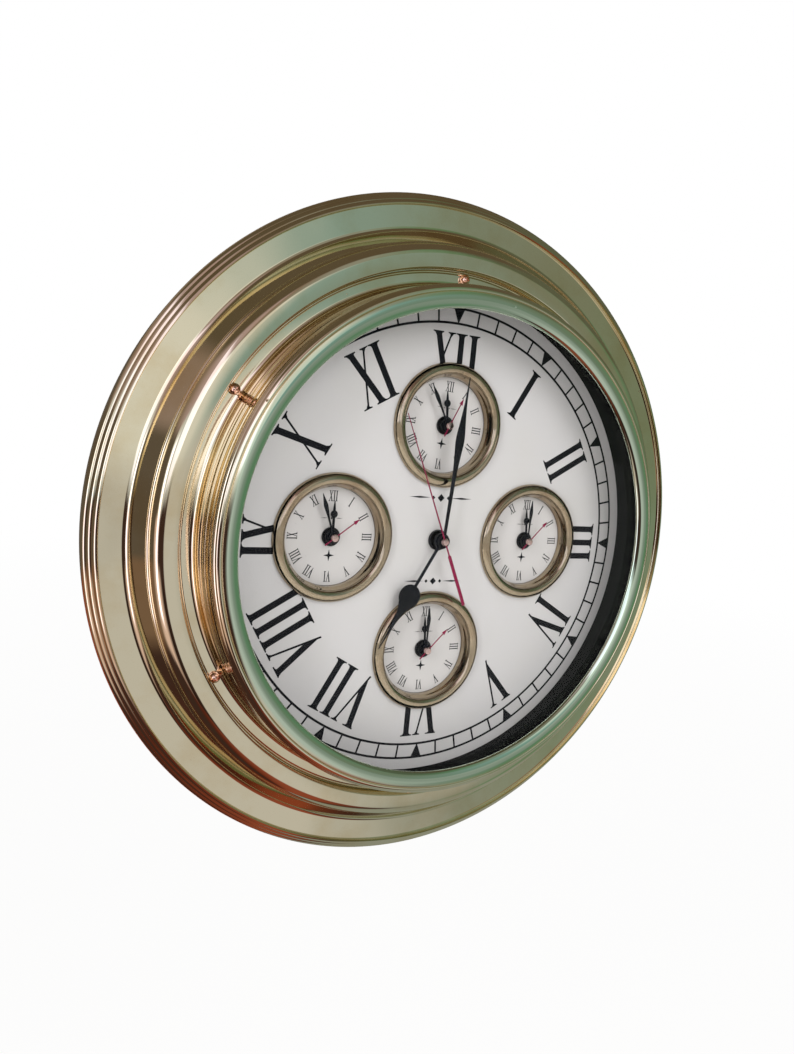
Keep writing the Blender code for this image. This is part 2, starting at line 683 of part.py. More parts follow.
def movement_case(centre):
    """Front half of the main movement, with its bush, the posts for the coil and the cell tray."""
    body = block(-HALF, HALF, -HALF, HALF, MAIN_REAR, MAIN_FRONT)
    case = piece("movement_case", body, "black_plastic", centre, smooth=False)
    room = block(-INSIDE, INSIDE, ROOM_BOTTOM, INSIDE, MAIN_REAR - OVERRUN, CASE_FLOOR)
    carve(case, gather([room, tray(MAIN_FRONT, MAIN_REAR)]))
    post = STATOR_HALF_WIDTH - STATOR_LEG / 2
    posts = [
        disc(POST_RADIUS, CORE_TOP + FIT, CASE_FLOOR + MOVEMENT_WALL / 2, SCREW_FACETS, (x, COIL_AT))
        for x in (-post, post)
    ]
    bush = disc(BUSH_RADIUS, CASE_FLOOR + MOVEMENT_WALL / 2, MAIN_BUSH_TOP, PIPE_FACETS)
    join(case, gather([*posts, bush, contacts(MAIN_FRONT, FIT)]))
    bearings = [
        disc(PIVOT_RADIUS + FIT, CASE_FLOOR - OVERRUN, CASE_FLOOR + BEARING_DEPTH, SCREW_FACETS, at)
        for at in (third_at(), motion_at(), step_at(), rotor_at())
    ]
    bore = hole(BUSH_BORE, CASE_FLOOR, MAIN_BUSH_TOP, PIPE_FACETS)
    carve(case, gather([*bearings, bore]))


def movement_cover(centre):
    """Rear lid of the train with the circuit board on it, bored for the arbors and the knob."""
    bottom = ROOM_BOTTOM + FIT
    right = INSIDE - FIT
    lid = block(-right, right, bottom, right, MAIN_REAR, LID_FRONT)
    cover = piece("movement_cover", lid, "black_plastic", centre, smooth=False)
    board = block(right - BOARD_WIDTH, right - FIT, bottom + FIT, bottom + BOARD_HEIGHT,
                  LID_FRONT - MOVEMENT_WALL / 2, LID_FRONT + BOARD_THICKNESS)
    join(cover, board)
    low = LID_FRONT - BEARING_DEPTH
    bearings = [
        disc(PIVOT_RADIUS + FIT, low, LID_FRONT + OVERRUN, SCREW_FACETS, at)
        for at in ((0.0, 0.0), third_at(), step_at(), rotor_at())
    ]
    knob = hole(KNOB_RADIUS + FIT, MAIN_REAR, LID_FRONT, PIPE_FACETS, motion_at())
    carve(cover, gather([*bearings, knob]))


def stator_coil(centre):
    """Soft-iron stator with the rotor's hole, and the coil wound on the core across its legs."""
    half = STATOR_HALF_WIDTH
    inner = half - STATOR_LEG
    foot = rotor_at()[1] - MAGNET_RADIUS - FIT - STATOR_RIM
    window = COIL_AT - COIL_RADIUS - FIT
    head = COIL_AT + COIL_RADIUS
    outline = [(-half, foot), (half, foot), (half, head), (inner, head), (inner, window),
               (-inner, window), (-inner, head), (-half, head)]
    yoke = plate(outline, STATOR_LOW, STATOR_TOP)
    stator = piece("stator_coil", yoke, "copper_wire", centre)
    wide = CORE_WIDTH / 2
    end = half - CORE_SETBACK
    core = block(-end, end, COIL_AT - wide, COIL_AT + wide, STATOR_TOP - STATOR_THICKNESS / 2,
                 CORE_TOP)
    join(stator, core)
    reach = COIL_LENGTH / 2
    winding = [(0, -reach), (COIL_RADIUS, -reach), (COIL_RADIUS, reach), (0, reach)]
    join(stator, drum(winding, PIPE_FACETS, CORE_TOP - CORE_THICKNESS / 2, COIL_AT))
    carve(stator, hole(MAGNET_RADIUS + FIT, STATOR_LOW, STATOR_TOP, PIPE_FACETS, rotor_at()))


def going_train(centre):
    """Rotor, step wheel, second wheel, third wheel and centre wheel."""
    pinion = pitch(ROTOR_DISTANCE, ROTOR_PINION_TEETH, STEP_WHEEL_TEETH)
    magnet = LEVELS[0] + WHEEL_THICKNESS + MAGNET_RISE
    rotor = [at_level(0, pinion), (MAGNET_RADIUS, magnet, magnet + MAGNET_LENGTH)]
    piece("rotor", arbor(rotor, PIVOT_LOW, PIVOT_HIGH), "satin_steel", centre, at=rotor_at())
    step = [
        at_level(0, pitch(ROTOR_DISTANCE, STEP_WHEEL_TEETH, ROTOR_PINION_TEETH)),
        at_level(1, pitch(STEP_DISTANCE, STEP_PINION_TEETH, SECOND_WHEEL_TEETH)),
    ]
    piece("step_wheel", arbor(step, PIVOT_LOW, PIVOT_HIGH), "white_plastic", centre, at=step_at())
    second = [
        at_level(1, pitch(STEP_DISTANCE, SECOND_WHEEL_TEETH, STEP_PINION_TEETH)),
        at_level(2, pitch(THIRD_DISTANCE, SECOND_PINION_TEETH, THIRD_WHEEL_TEETH)),
    ]
    top = MAIN_SECOND + HAND_THICKNESS - FIT
    shaft = arbor(second, PIVOT_LOW, top, high_radius=ARBOR_RADIUS)
    piece("second_wheel", shaft, "satin_steel", centre, HANDS_AT["main"][2])
    third = [
        at_level(2, pitch(THIRD_DISTANCE, THIRD_WHEEL_TEETH, SECOND_PINION_TEETH)),
        at_level(3, pitch(THIRD_DISTANCE, THIRD_PINION_TEETH, CENTRE_WHEEL_TEETH)),
    ]
    piece("third_wheel", arbor(third, PIVOT_LOW, PIVOT_HIGH), "white_plastic", centre,
          at=third_at())
    radius, low, high = at_level(3, pitch(THIRD_DISTANCE, CENTRE_WHEEL_TEETH, THIRD_PINION_TEETH))
    ring = tube(MINUTE_PIPE_RADIUS + FIT, radius, low, high, PIPE_FACETS)
    piece("centre_wheel", ring, "white_plastic", centre)


def motion_work(centre):
    """Minute pipe with its cannon pinion, setting wheel with its knob, and hour wheel."""
    hour_angle, minute_angle, _ = HANDS_AT["main"]
    cannon, low, high = at_level(4, pitch(MOTION_DISTANCE, CANNON_TEETH, MOTION_WHEEL_TEETH))
    top = MAIN_MINUTE + HAND_THICKNESS
    pipe = [
        (MINUTE_PIPE_BORE, LEVELS[3] - FIT),
        (MINUTE_PIPE_RADIUS, LEVELS[3] - FIT),
        (MINUTE_PIPE_RADIUS, low),
        (cannon, low),
        (cannon, high),
        (MINUTE_PIPE_RADIUS, high),
        (MINUTE_PIPE_RADIUS, top),
        (MINUTE_PIPE_BORE, top),
    ]
    piece("minute_pipe", turned(pipe, PIPE_FACETS), "satin_steel", centre, minute_angle)
    knob = (KNOB_RADIUS, MAIN_REAR - FIT - KNOB_THICKNESS, MAIN_REAR - FIT)
    outline = [
        (0, knob[1]),
        (KNOB_RADIUS, knob[1]),
        (KNOB_RADIUS, knob[2]),
        (STEM_RADIUS, knob[2]),
        (STEM_RADIUS, LEVELS[4]),
        (pitch(MOTION_DISTANCE, MOTION_WHEEL_TEETH, CANNON_TEETH), LEVELS[4]),
        (pitch(MOTION_DISTANCE, MOTION_WHEEL_TEETH, CANNON_TEETH), high),
        (pitch(MOTION_DISTANCE, MOTION_PINION_TEETH, HOUR_WHEEL_TEETH), high),
        (pitch(MOTION_DISTANCE, MOTION_PINION_TEETH, HOUR_WHEEL_TEETH), LEVELS[5] + WHEEL_THICKNESS),
        (PIVOT_RADIUS, LEVELS[5] + WHEEL_THICKNESS),
        (PIVOT_RADIUS, PIVOT_HIGH),
        (0, PIVOT_HIGH),
    ]
    piece("setting_wheel", turned(outline, PIPE_FACETS), "white_plastic", centre, at=motion_at())
    rim, low, high = at_level(5, pitch(MOTION_DISTANCE, HOUR_WHEEL_TEETH, MOTION_PINION_TEETH))
    top = MAIN_HOUR + HAND_THICKNESS
    hour = [
        (HOUR_PIPE_BORE, low),
        (rim, low),
        (rim, high),
        (HOUR_PIPE_RADIUS, high),
        (HOUR_PIPE_RADIUS, top),
        (HOUR_PIPE_BORE, top),
    ]
    piece("hour_wheel", turned(hour, PIPE_FACETS), "white_plastic", centre, hour_angle)


# Hands

def hand_outline(side, hub):
    """A hand's (x, z) outline from the (half width, distance) points of its right side."""
    left = [(-half, along) for half, along in reversed(side)]
    turn = 180 * acos(side[0][0] / hub) / pi
    boss = arc((0, 0), hub, 180 - turn, 360 + turn, 12)
    return side + left + boss[1:-1]


def hub_edge(hub, half):
    """How far from the centre a hand of this half width leaves its hub."""
    return sqrt(hub ** 2 - half ** 2)


def spade(hub, arm, at, radius, taper):
    """The right side of a spade hand: arm, round blob, and the taper to its point."""
    entry = 180 * acos(arm / radius) / pi
    return [(arm, hub_edge(hub, arm))] + arc((0, at), radius, -entry, 40, 6) + taper


def leaf(hub, root, shape):
    """The right side of a leaf hand, which swells along its length."""
    return [(root, hub_edge(hub, root))] + shape


def pressed_hand(name, side, hub, bore, height, centre, angle):
    """A main hand: a flat blade on a collet that is pressed on its pipe."""
    high = height + HAND_THICKNESS
    hand = piece(name, plate(hand_outline(side, hub), height, high), "dark_hand", centre, angle)
    low = height - COLLET_HEIGHT
    join(hand, disc(hub - COLLET_STEP, low, height + HAND_THICKNESS / 2, PIPE_FACETS))
    carve(hand, hole(bore, low, high, PIPE_FACETS))


def main_hands(centre):
    hour, minute, second = HANDS_AT["main"]
    blob_end = HOUR_BLOB_AT + HOUR_BLOB_RADIUS
    taper = [
        (HOUR_BLOB_RADIUS / 2, blob_end + HOUR_TAPER / 6),
        (HOUR_ARM * 2, blob_end + HOUR_TAPER / 2),
        (HOUR_ARM * 1.2, blob_end + HOUR_TAPER),
        (POINT, HOUR_REACH),
    ]
    bore = HOUR_PIPE_RADIUS + FIT
    hub = bore + COLLET_WALL
    side = spade(hub, HOUR_ARM, HOUR_BLOB_AT, HOUR_BLOB_RADIUS, taper)
    pressed_hand("main_hour_hand", side, hub, bore, MAIN_HOUR, centre, hour)
    middle = (MINUTE_WAIST + MINUTE_BELLY) / 2
    shape = [
        (MINUTE_WAIST, MINUTE_BELLY_AT - MINUTE_SWELL),
        (middle, MINUTE_BELLY_AT - MINUTE_SWELL / 2),
        (MINUTE_BELLY, MINUTE_BELLY_AT),
        (middle * 0.8, MINUTE_BELLY_AT + MINUTE_SWELL / 2),
        (MINUTE_WAIST * 0.6, MINUTE_BELLY_AT + MINUTE_SWELL),
        (POINT, MINUTE_REACH),
    ]
    bore = MINUTE_PIPE_RADIUS + FIT
    hub = bore + COLLET_WALL
    side = leaf(hub, MINUTE_ROOT, shape)
    pressed_hand("main_minute_hand", side, hub, bore, MAIN_MINUTE, centre, minute)
    main_second_hand(centre, second)


def main_second_hand(centre, angle):
    """Needle with a flat counterweight tail, and a cap with a blind bore for the arbor."""
    tail = SECOND_TAIL_HALF
    foot = CAP_RADIUS / 2
    outline = [(SECOND_NEEDLE, foot), (POINT, SECOND_REACH), (-POINT, SECOND_REACH),
               (-SECOND_NEEDLE, foot), (-tail, -foot), (-tail, -SECOND_TAIL), (tail, -SECOND_TAIL),
               (tail, -foot)]
    high = MAIN_SECOND + HAND_THICKNESS
    hand = piece("main_second_hand", plate(outline, MAIN_SECOND, high), "crimson_hand", centre,
                 angle)
    low = MAIN_SECOND - MAIN_HAND_SPACING / 2
    join(hand, disc(CAP_RADIUS, low, high + CAP_HEIGHT, PIPE_FACETS))
    carve(hand, disc(ARBOR_RADIUS + FIT, low - OVERRUN, high, PIPE_FACETS))


def piped_hand(name, side, hub, pipe, bore, height, centre, angle):
    """A small clock's hand: a flat blade in one piece with the pipe that runs into its bush."""
    high = height + SMALL_HAND_THICKNESS
    hand = piece(name, plate(hand_outline(side, hub), height, high), "dark_hand", centre, angle)
    low = SMALL_FRONT - MOVEMENT_WALL
    join(hand, disc(pipe, low, height + SMALL_HAND_THICKNESS / 2, PIPE_FACETS))
    carve(hand, hole(bore, low, high, PIPE_FACETS))


def small_hands(name, centre):
    hour, minute, second = HANDS_AT[name]
    blob_end = SMALL_HOUR_BLOB_AT + SMALL_HOUR_BLOB_RADIUS
    taper = [(SMALL_HOUR_ARM, blob_end + SMALL_HOUR_ARM), (SMALL_HOUR_ARM / 2, SMALL_HOUR_REACH)]
    hub = HOUR_PIPE_RADIUS + SMALL_HUB_WALL
    side = spade(hub, SMALL_HOUR_ARM, SMALL_HOUR_BLOB_AT, SMALL_HOUR_BLOB_RADIUS, taper)
    piped_hand(f"{name}_hour_hand", side, hub, HOUR_PIPE_RADIUS, HOUR_PIPE_BORE, SMALL_HOUR,
               centre, hour)
    hub = MINUTE_PIPE_RADIUS + SMALL_HUB_WALL
    shape = [
        (SMALL_WAIST, SMALL_BELLY_AT - SMALL_SWELL),
        (SMALL_BELLY, SMALL_BELLY_AT),
        (SMALL_WAIST, SMALL_BELLY_AT + SMALL_SWELL * 0.7),
        (POINT, SMALL_MINUTE_REACH),
    ]
    side = leaf(hub, SMALL_MINUTE_ROOT, shape)
    piped_hand(f"{name}_minute_hand", side, hub, MINUTE_PIPE_RADIUS, MINUTE_PIPE_BORE, SMALL_MINUTE,
               centre, minute)
    small_second_hand(f"{name}_second_hand", centre, second)


def small_second_hand(name, centre, angle):
    """Needle with an arrow head, a short tail, a cap and the arbor, all in one piece."""
    neck = SMALL_SECOND_REACH - SMALL_ARROW_LENGTH
    outline = [(SMALL_NEEDLE, -SMALL_SECOND_TAIL), (SMALL_NEEDLE, neck), (SMALL_ARROW_HALF, neck),
               (0, SMALL_SECOND_REACH), (-SMALL_ARROW_HALF, neck), (-SMALL_NEEDLE, neck),
               (-SMALL_NEEDLE, -SMALL_SECOND_TAIL)]
    high = SMALL_SECOND + SMALL_HAND_THICKNESS
    hand = piece(name, plate(outline, SMALL_SECOND, high), "crimson_hand", centre, angle)
    low = SMALL_FRONT - MOVEMENT_WALL
    cap = SMALL_SECOND - SMALL_HAND_SPACING / 2
    steps = [(0, low), (ARBOR_RADIUS, low), (ARBOR_RADIUS, cap), (CAP_RADIUS, cap),
             (CAP_RADIUS, SMALL_CAP_TOP), (0, SMALL_CAP_TOP)]
    join(hand, turned(steps, PIPE_FACETS))


# Small clocks

def small_bezel(name, centre):
    """Turned brass bezel: a rolled crest over the dial, a deep lip, and a ledge for its dial."""
    ledge = SMALL_OPENING - SMALL_LEDGE_WIDTH
    rise = SMALL_BEZEL_TOP - SMALL_BEZEL_BACK
    bevel = SMALL_BEZEL_TOP - SMALL_BEVEL_DROP
    inner = SMALL_BEZEL_WALL - SMALL_BEVEL_WIDTH
    outline = [
        (SMALL_SKIRT, LEDGE_BACK),
        (SMALL_SKIRT, SMALL_BEZEL_BACK),
        *arc((SMALL_SKIRT, SMALL_BEZEL_BACK), SMALL_BEZEL_LAP, 0, 90, 3, rise),
        *arc((SMALL_SKIRT, bevel), inner, 90, 180, 2, SMALL_BEVEL_DROP)[1:],
        (SMALL_OPENING, SMALL_LIP),
        (SMALL_OPENING, LEDGE_FRONT),
        (ledge, LEDGE_FRONT),
        (ledge, LEDGE_BACK),
    ]
    piece(f"{name}_bezel", turned(outline, SMALL_FACETS), "polished_brass", centre)


def small_dial(name, centre):
    face = tube(BUSH_HOLE, SMALL_DIAL_RADIUS, SMALL_DIAL_BACK, SMALL_DIAL_FACE, SMALL_FACETS)
    piece(f"{name}_dial", face, "dial_paint", centre)


def small_movement(name, centre):
    """Sealed unit with its cell, its bush, and the corner feet that bear on the main dial."""
    body = block(-HALF, HALF, -HALF, HALF, SMALL_REAR, SMALL_FRONT)
    unit = piece(f"{name}_movement", body, "black_plastic", centre, smooth=False)
    carve(unit, tray(SMALL_FRONT, SMALL_REAR))
    inner = (SMALL_HOLE + FOOT_MARGIN) / sqrt(2)
    foot = SMALL_FRONT - MOVEMENT_WALL / 2
    feet = []
    for left, right in ((-HALF, -inner), (inner, HALF)):
        for bottom, top in ((-HALF, -inner), (inner, HALF)):
            feet.append(block(left, right, bottom, top, foot, DIAL_BACK - FIT))
    bush = disc(BUSH_RADIUS, foot, SMALL_BUSH_TOP, PIPE_FACETS)
    join(unit, gather([*feet, bush]))
    join(unit, contacts(SMALL_FRONT, -FIT))
    join(unit, cell(SMALL_FRONT))
    floor = SMALL_FRONT - MOVEMENT_WALL - FIT
    bore = disc(BUSH_BORE, floor, SMALL_BUSH_TOP + OVERRUN, PIPE_FACETS)
    stem_end = SMALL_REAR + STEM_REACH + FIT
    stem = disc(STEM_RADIUS + FIT, SMALL_REAR - OVERRUN, stem_end, SCREW_FACETS, motion_at())
    carve(unit, gather([bore, stem]))


def small_set_knob(name, centre):
    top = SMALL_REAR - FIT
    reach = SMALL_REAR + STEM_REACH
    outline = [(0, top - KNOB_THICKNESS), (KNOB_RADIUS, top - KNOB_THICKNESS), (KNOB_RADIUS, top),
               (STEM_RADIUS, top), (STEM_RADIUS, reach), (0, reach)]
    piece(f"{name}_set_knob", turned(outline, PIPE_FACETS), "black_plastic", centre, at=motion_at())


def small_clock(name, angle):
    centre = clock_centre(name, angle)
    small_bezel(name, centre)
    small_dial(name, centre)
    small_movement(name, centre)
    bush_nut(name, centre, SMALL_DIAL_FACE, SMALL_NUT_THICKNESS)
    small_hands(name, centre)
    small_set_knob(name, centre)


def main_clock():
    centre = clock_centre("main")
    movement_case(centre)
    movement_cover(centre)
    piece("main_cell", cell(MAIN_FRONT), "cell_jacket", centre)
    stator_coil(centre)
    going_train(centre)
    motion_work(centre)
    bush_nut("main", centre, DIAL_FACE, MAIN_NUT_THICKNESS)
    main_hands(centre)


def main():
    for thing in list(bpy.data.objects):
        bpy.data.objects.remove(thing)
    wall_flange()
    bezel_ring()
    bezel_screws()
    glass_and_sleeve()
    main_dial()
    back_cover()
    main_clock()
    for name, angle in SMALL_CLOCKS.items():
        small_clock(name, angle)


main()
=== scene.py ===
# %% [markdown]
# # Dressing a brass wall clock that shows five times
#
# The real clock is a spun brass case like a ship's clock, with a white dial, bold Roman numerals
# and four small clocks let into the dial. A fixed model already gives every piece its size and
# place, with XII at +Z and the wall at y = 0. This lesson gives each piece the surface it has in
# the hand: finer metal, printed dials, lacquered hands, and a room for the brass to mirror.

# %% Load the fixed model
from math import asin, atan2, cos, degrees, hypot, pi, radians, sin, sqrt, tan

import bmesh
import bpy
from mathutils import Matrix, Vector


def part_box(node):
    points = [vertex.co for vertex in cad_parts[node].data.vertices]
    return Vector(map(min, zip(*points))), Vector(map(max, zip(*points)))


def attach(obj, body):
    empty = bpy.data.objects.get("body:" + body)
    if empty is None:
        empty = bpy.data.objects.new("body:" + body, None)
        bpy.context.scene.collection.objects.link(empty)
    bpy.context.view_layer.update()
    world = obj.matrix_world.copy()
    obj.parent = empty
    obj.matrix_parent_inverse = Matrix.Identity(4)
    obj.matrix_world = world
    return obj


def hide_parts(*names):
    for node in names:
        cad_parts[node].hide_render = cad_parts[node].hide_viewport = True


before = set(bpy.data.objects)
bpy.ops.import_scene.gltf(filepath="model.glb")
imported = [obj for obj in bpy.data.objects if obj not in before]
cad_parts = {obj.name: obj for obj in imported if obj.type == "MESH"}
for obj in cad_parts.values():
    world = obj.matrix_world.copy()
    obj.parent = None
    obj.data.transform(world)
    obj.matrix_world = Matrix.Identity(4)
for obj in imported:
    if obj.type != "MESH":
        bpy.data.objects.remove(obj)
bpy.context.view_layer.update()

MM = 0.001
scene = bpy.context.scene
scene.view_settings.view_transform = "Standard"

# %% [markdown]
# ## The camera
#
# The photograph was taken from close by, a little to the left and above the middle. Its eye point
# and lens were worked out from the round dial and its rings, which look oval from the side. A
# short lens this close makes the near side of the rim look much larger than the far side.

# %% Camera
EYE = Vector((-0.24339, -0.41410, 0.05849))
AHEAD = Vector((0.48794, 0.86503, -0.11678)).normalized()
UPWARDS = Vector((-0.02421, 0.14715, 0.98882))
FOCAL_PIXELS = 833.08
PHOTO_HEIGHT = 1054

lens = bpy.data.cameras.new("camera")
lens.sensor_width = 36.0
lens.lens = FOCAL_PIXELS / PHOTO_HEIGHT * lens.sensor_width
camera = bpy.data.objects.new("camera", lens)
rightwards = AHEAD.cross(UPWARDS).normalized()
turn = Matrix((rightwards, rightwards.cross(AHEAD), -AHEAD)).transposed()
camera.matrix_world = Matrix.Translation(EYE) @ turn.to_4x4()
scene.collection.objects.link(camera)
scene.camera = camera
print("lens", round(lens.lens, 2), "mm,", round(EYE.length, 2), "m from the clock")

# %% [markdown]
# ## Colours and nodes
#
# Blender's shaders work in linear light, but colours are easiest to pick as sRGB hex codes, so one
# function turns them. A second one adds a node, sets it and wires it, which keeps each material
# below short enough to read as a recipe.

# %% Two helpers for every material
def linear(code):
    """Linear red, green, blue and alpha of an sRGB hex code."""
    parts = [int(code[i:i + 2], 16) / 255 for i in (1, 3, 5)]
    return (*[p / 12.92 if p <= 0.04045 else ((p + 0.055) / 1.055) ** 2.4 for p in parts], 1.0)


def add(tree, kind, sockets=None, links=None, stops=None, **settings):
    """Add one node: its settings, its fixed sockets, what feeds it (a socket, or a node for its
    first output), and a ramp's colour stops."""
    node = tree.nodes.new(kind)
    for name, value in settings.items():
        setattr(node, name, value)
    for name, value in (sockets or {}).items():
        node.inputs[name].default_value = value
    for name, source in (links or {}).items():
        tree.links.new(getattr(source, "outputs", [source])[0], node.inputs[name])
    if stops:
        ramp = node.color_ramp
        for place, _ in stops[1:-1]:
            ramp.elements.new(place)
        for element, (place, code) in zip(ramp.elements, stops):
            element.position = place
            element.color = linear(code)
    return node


# %% [markdown]
# ## The room that the brass mirrors
#
# Polished brass has almost no look of its own: it shows the room. Here the room is painted by
# direction alone, in six belts from floor to ceiling, from a short list of soft colours. On the
# right it is dim and grey green. On the left a bright doorway and a long window stand over a dark
# skirting and a red-brown floor. Matt surfaces are lit by a plain neutral dome, so white stays
# white.

# %% Room
ROOM_COLOURS = {
    "brick": "#8e4a35", "dark brick": "#55281c", "umber": "#3d2c26", "soot": "#20140f",
    "taupe": "#77614e", "putty": "#88786b", "earth": "#5d5449", "blush": "#dcc2b8",
    "mauve": "#b09da0", "fog": "#c4c5c3", "stone": "#8f968f", "sage": "#67866c",
    "moss": "#5c6250", "sea green": "#88a4a2", "plaster": "#dcdfdc", "haze": "#b5bdc6",
    "khaki": "#7b8272", "shade": "#5b5140",
}
BELTS = [
    ("near floor", [(-180, "brick"), (-140, "dark brick"), (-100, "umber"), (-40, "umber"),
                    (-20, "dark brick"), (12, "brick"), (22, "brick"), (34, "umber"),
                    (42, "stone"), (140, "stone"), (155, "dark brick"), (180, "brick")]),
    ("floor", [(-180, "brick"), (-140, "brick"), (-100, "taupe"), (-85, "taupe"),
               (-60, "blush"), (-34, "blush"), (-15, "soot"), (4, "umber"), (8, "fog"),
               (25, "fog"), (36, "stone"), (50, "sage"), (110, "stone"), (180, "brick")]),
    ("skirting", [(-180, "earth"), (-80, "earth"), (-70, "blush"), (-44, "mauve"),
                  (-34, "umber"), (3, "umber"), (9, "fog"), (20, "fog"), (35, "stone"),
                  (55, "sage"), (80, "sage"), (110, "stone"), (180, "earth")]),
    ("level", [(-180, "earth"), (-68, "earth"), (-60, "plaster"), (-20, "haze"),
               (0, "plaster"), (15, "plaster"), (23, "sea green"), (38, "khaki"),
               (60, "sage"), (120, "moss"), (180, "earth")]),
    ("upper wall", [(-180, "putty"), (-100, "putty"), (-45, "mauve"), (-12, "mauve"),
                    (-4, "putty"), (20, "stone"), (32, "sage"), (45, "moss"), (120, "moss"),
                    (180, "putty")]),
    ("ceiling", [(-180, "shade"), (180, "shade")]),
]
BELT_EDGES = [(-42, -35), (-18, -14), (-5, -1), (17, 23), (40, 50)]
WINDOW_COLOUR = "#e4e4ff"
WINDOW_SLANT = 0.75
WINDOWS = [
    (1.7, [("azimuth", -62, -56), ("azimuth", -40, -46), ("elevation", -32, -27),
           ("elevation", 18, 12)]),
    (1.0, [("azimuth", -36, -30), ("azimuth", 8, 4), ("elevation", -1, 2),
           ("slanted", 17, 12)]),
]
DOME_COLOUR = "#fbf9f6"
DOME_STRENGTH = 0.74
WHITE = "#ffffff"
SWAY = 0.06
SWAY_SCALE = 3.0

room = bpy.data.worlds.new("studio_room")
room.use_nodes = True
scene.world = room
tree = room.node_tree
tree.nodes.clear()
toward = add(tree, "ShaderNodeTexCoord").outputs["Generated"]
axes = add(tree, "ShaderNodeSeparateXYZ", links={0: toward})
forward = add(tree, "ShaderNodeMath", {1: -1.0}, {0: axes.outputs["Y"]}, operation="MULTIPLY")
bearing = add(tree, "ShaderNodeMath", links={0: axes.outputs["X"], 1: forward},
              operation="ARCTAN2")
lift = add(tree, "ShaderNodeMath", links={0: axes.outputs["Z"]}, operation="ARCSINE")
blur = add(tree, "ShaderNodeTexNoise", {"Scale": SWAY_SCALE, "Detail": 3.0}, {"Vector": toward})
soft = add(tree, "ShaderNodeMapRange", {"To Min": -SWAY, "To Max": SWAY},
           {"Value": blur.outputs["Fac"]})
azimuth = add(tree, "ShaderNodeMath", links={0: bearing, 1: soft}, operation="ADD").outputs[0]
elevation = add(tree, "ShaderNodeMath", links={0: lift, 1: soft}, operation="SUBTRACT").outputs[0]
around = add(tree, "ShaderNodeMapRange", {"From Min": -pi, "From Max": pi}, {"Value": azimuth})
rings = []
for _, belt in BELTS:
    stops = [(place / 360 + 0.5, ROOM_COLOURS[colour]) for place, colour in belt]
    rings.append(add(tree, "ShaderNodeValToRGB", links={0: around}, stops=stops))
mixed = rings[0].outputs[0]
for ring, (start, end) in zip(rings[1:], BELT_EDGES):
    rise = add(tree, "ShaderNodeMapRange", {"From Min": radians(start), "From Max": radians(end)},
               {"Value": elevation}, interpolation_type="SMOOTHSTEP")
    mixed = add(tree, "ShaderNodeMix", links={0: rise, 6: mixed, 7: ring},
                data_type="RGBA").outputs[2]
slanted = add(tree, "ShaderNodeMath", {1: WINDOW_SLANT}, {0: azimuth, 2: elevation},
              operation="MULTIPLY_ADD").outputs[0]
across = {"azimuth": azimuth, "elevation": elevation, "slanted": slanted}
brightness = None
for strength, edges in WINDOWS:
    pane = None
    for axis, dark_side, bright_side in edges:
        edge = add(tree, "ShaderNodeMapRange",
                   {"From Min": radians(dark_side), "From Max": radians(bright_side)},
                   {"Value": across[axis]}, interpolation_type="SMOOTHSTEP").outputs[0]
        pane = edge if pane is None else add(tree, "ShaderNodeMath", links={0: pane, 1: edge},
                                             operation="MULTIPLY").outputs[0]
    pane = add(tree, "ShaderNodeMath", {1: strength}, {0: pane}, operation="MULTIPLY").outputs[0]
    brightness = pane if brightness is None else add(
        tree, "ShaderNodeMath", links={0: brightness, 1: pane}, operation="ADD").outputs[0]
walls = add(tree, "ShaderNodeBackground", {"Strength": 1.0}, {"Color": mixed})
window = add(tree, "ShaderNodeBackground", {"Color": linear(WINDOW_COLOUR)},
             {"Strength": brightness})
mirrored = add(tree, "ShaderNodeAddShader", links={0: walls, 1: window})
dome = add(tree, "ShaderNodeBackground", {"Color": linear(DOME_COLOUR), "Strength": DOME_STRENGTH})
white = add(tree, "ShaderNodeBackground", {"Color": linear(WHITE), "Strength": 1.0})
ray = add(tree, "ShaderNodeLightPath")
seen_in_shine = add(tree, "ShaderNodeMath", links={0: ray.outputs["Is Glossy Ray"],
                                                   1: ray.outputs["Is Transmission Ray"]},
                    operation="MAXIMUM")
glossy = add(tree, "ShaderNodeMixShader", links={0: seen_in_shine, 1: dome, 2: mirrored})
shown = add(tree, "ShaderNodeMixShader", links={0: ray.outputs["Is Camera Ray"],
                                                1: glossy, 2: white})
add(tree, "ShaderNodeOutputWorld", links={0: shown})
print("room painted in", len(BELTS), "belts with", len(WINDOWS), "windows")

# %% [markdown]
# ## Lamps and floor
#
# A tall softbox stands where the window is, and a large one in front lights the dial and gives
# the hands their faint shadows. Both are kept out of the mirror, where the painted room already
# holds its window. The floor is plain and pale, and fades to white away from the clock.

# %% Lamps and floor
# Each lamp's azimuth (0 is straight ahead of the clock, + is to the right) and elevation in
# degrees, its distance, width and height in metres, and its power in watts.
LAMPS = {
    "window_softbox": (-60, 12, 1.7, 0.30, 1.5, 10.0),
    "front_softbox": (12, 30, 1.9, 1.0, 1.0, 13.0),
}
FLOOR_COLOUR = "#f4f3f1"
FLOOR_LEVEL = -0.62
FLOOR_REACH = 30.0
FLOOR_GLOW = (0.90, 1.0)
FLOOR_FADE = (0.5, 4.0)

for name, (side, lift, distance, width, height, watts) in LAMPS.items():
    lamp = bpy.data.lights.new(name, "AREA")
    lamp.shape = "RECTANGLE"
    lamp.size = width
    lamp.size_y = height
    lamp.energy = watts
    stand = bpy.data.objects.new(name, lamp)
    a, e = radians(side), radians(lift)
    stand.location = Vector((sin(a) * cos(e), -cos(a) * cos(e), sin(e))) * distance
    stand.rotation_euler = stand.location.to_track_quat("Z", "Y").to_euler()
    stand.visible_glossy = False
    stand.visible_transmission = False
    scene.collection.objects.link(stand)

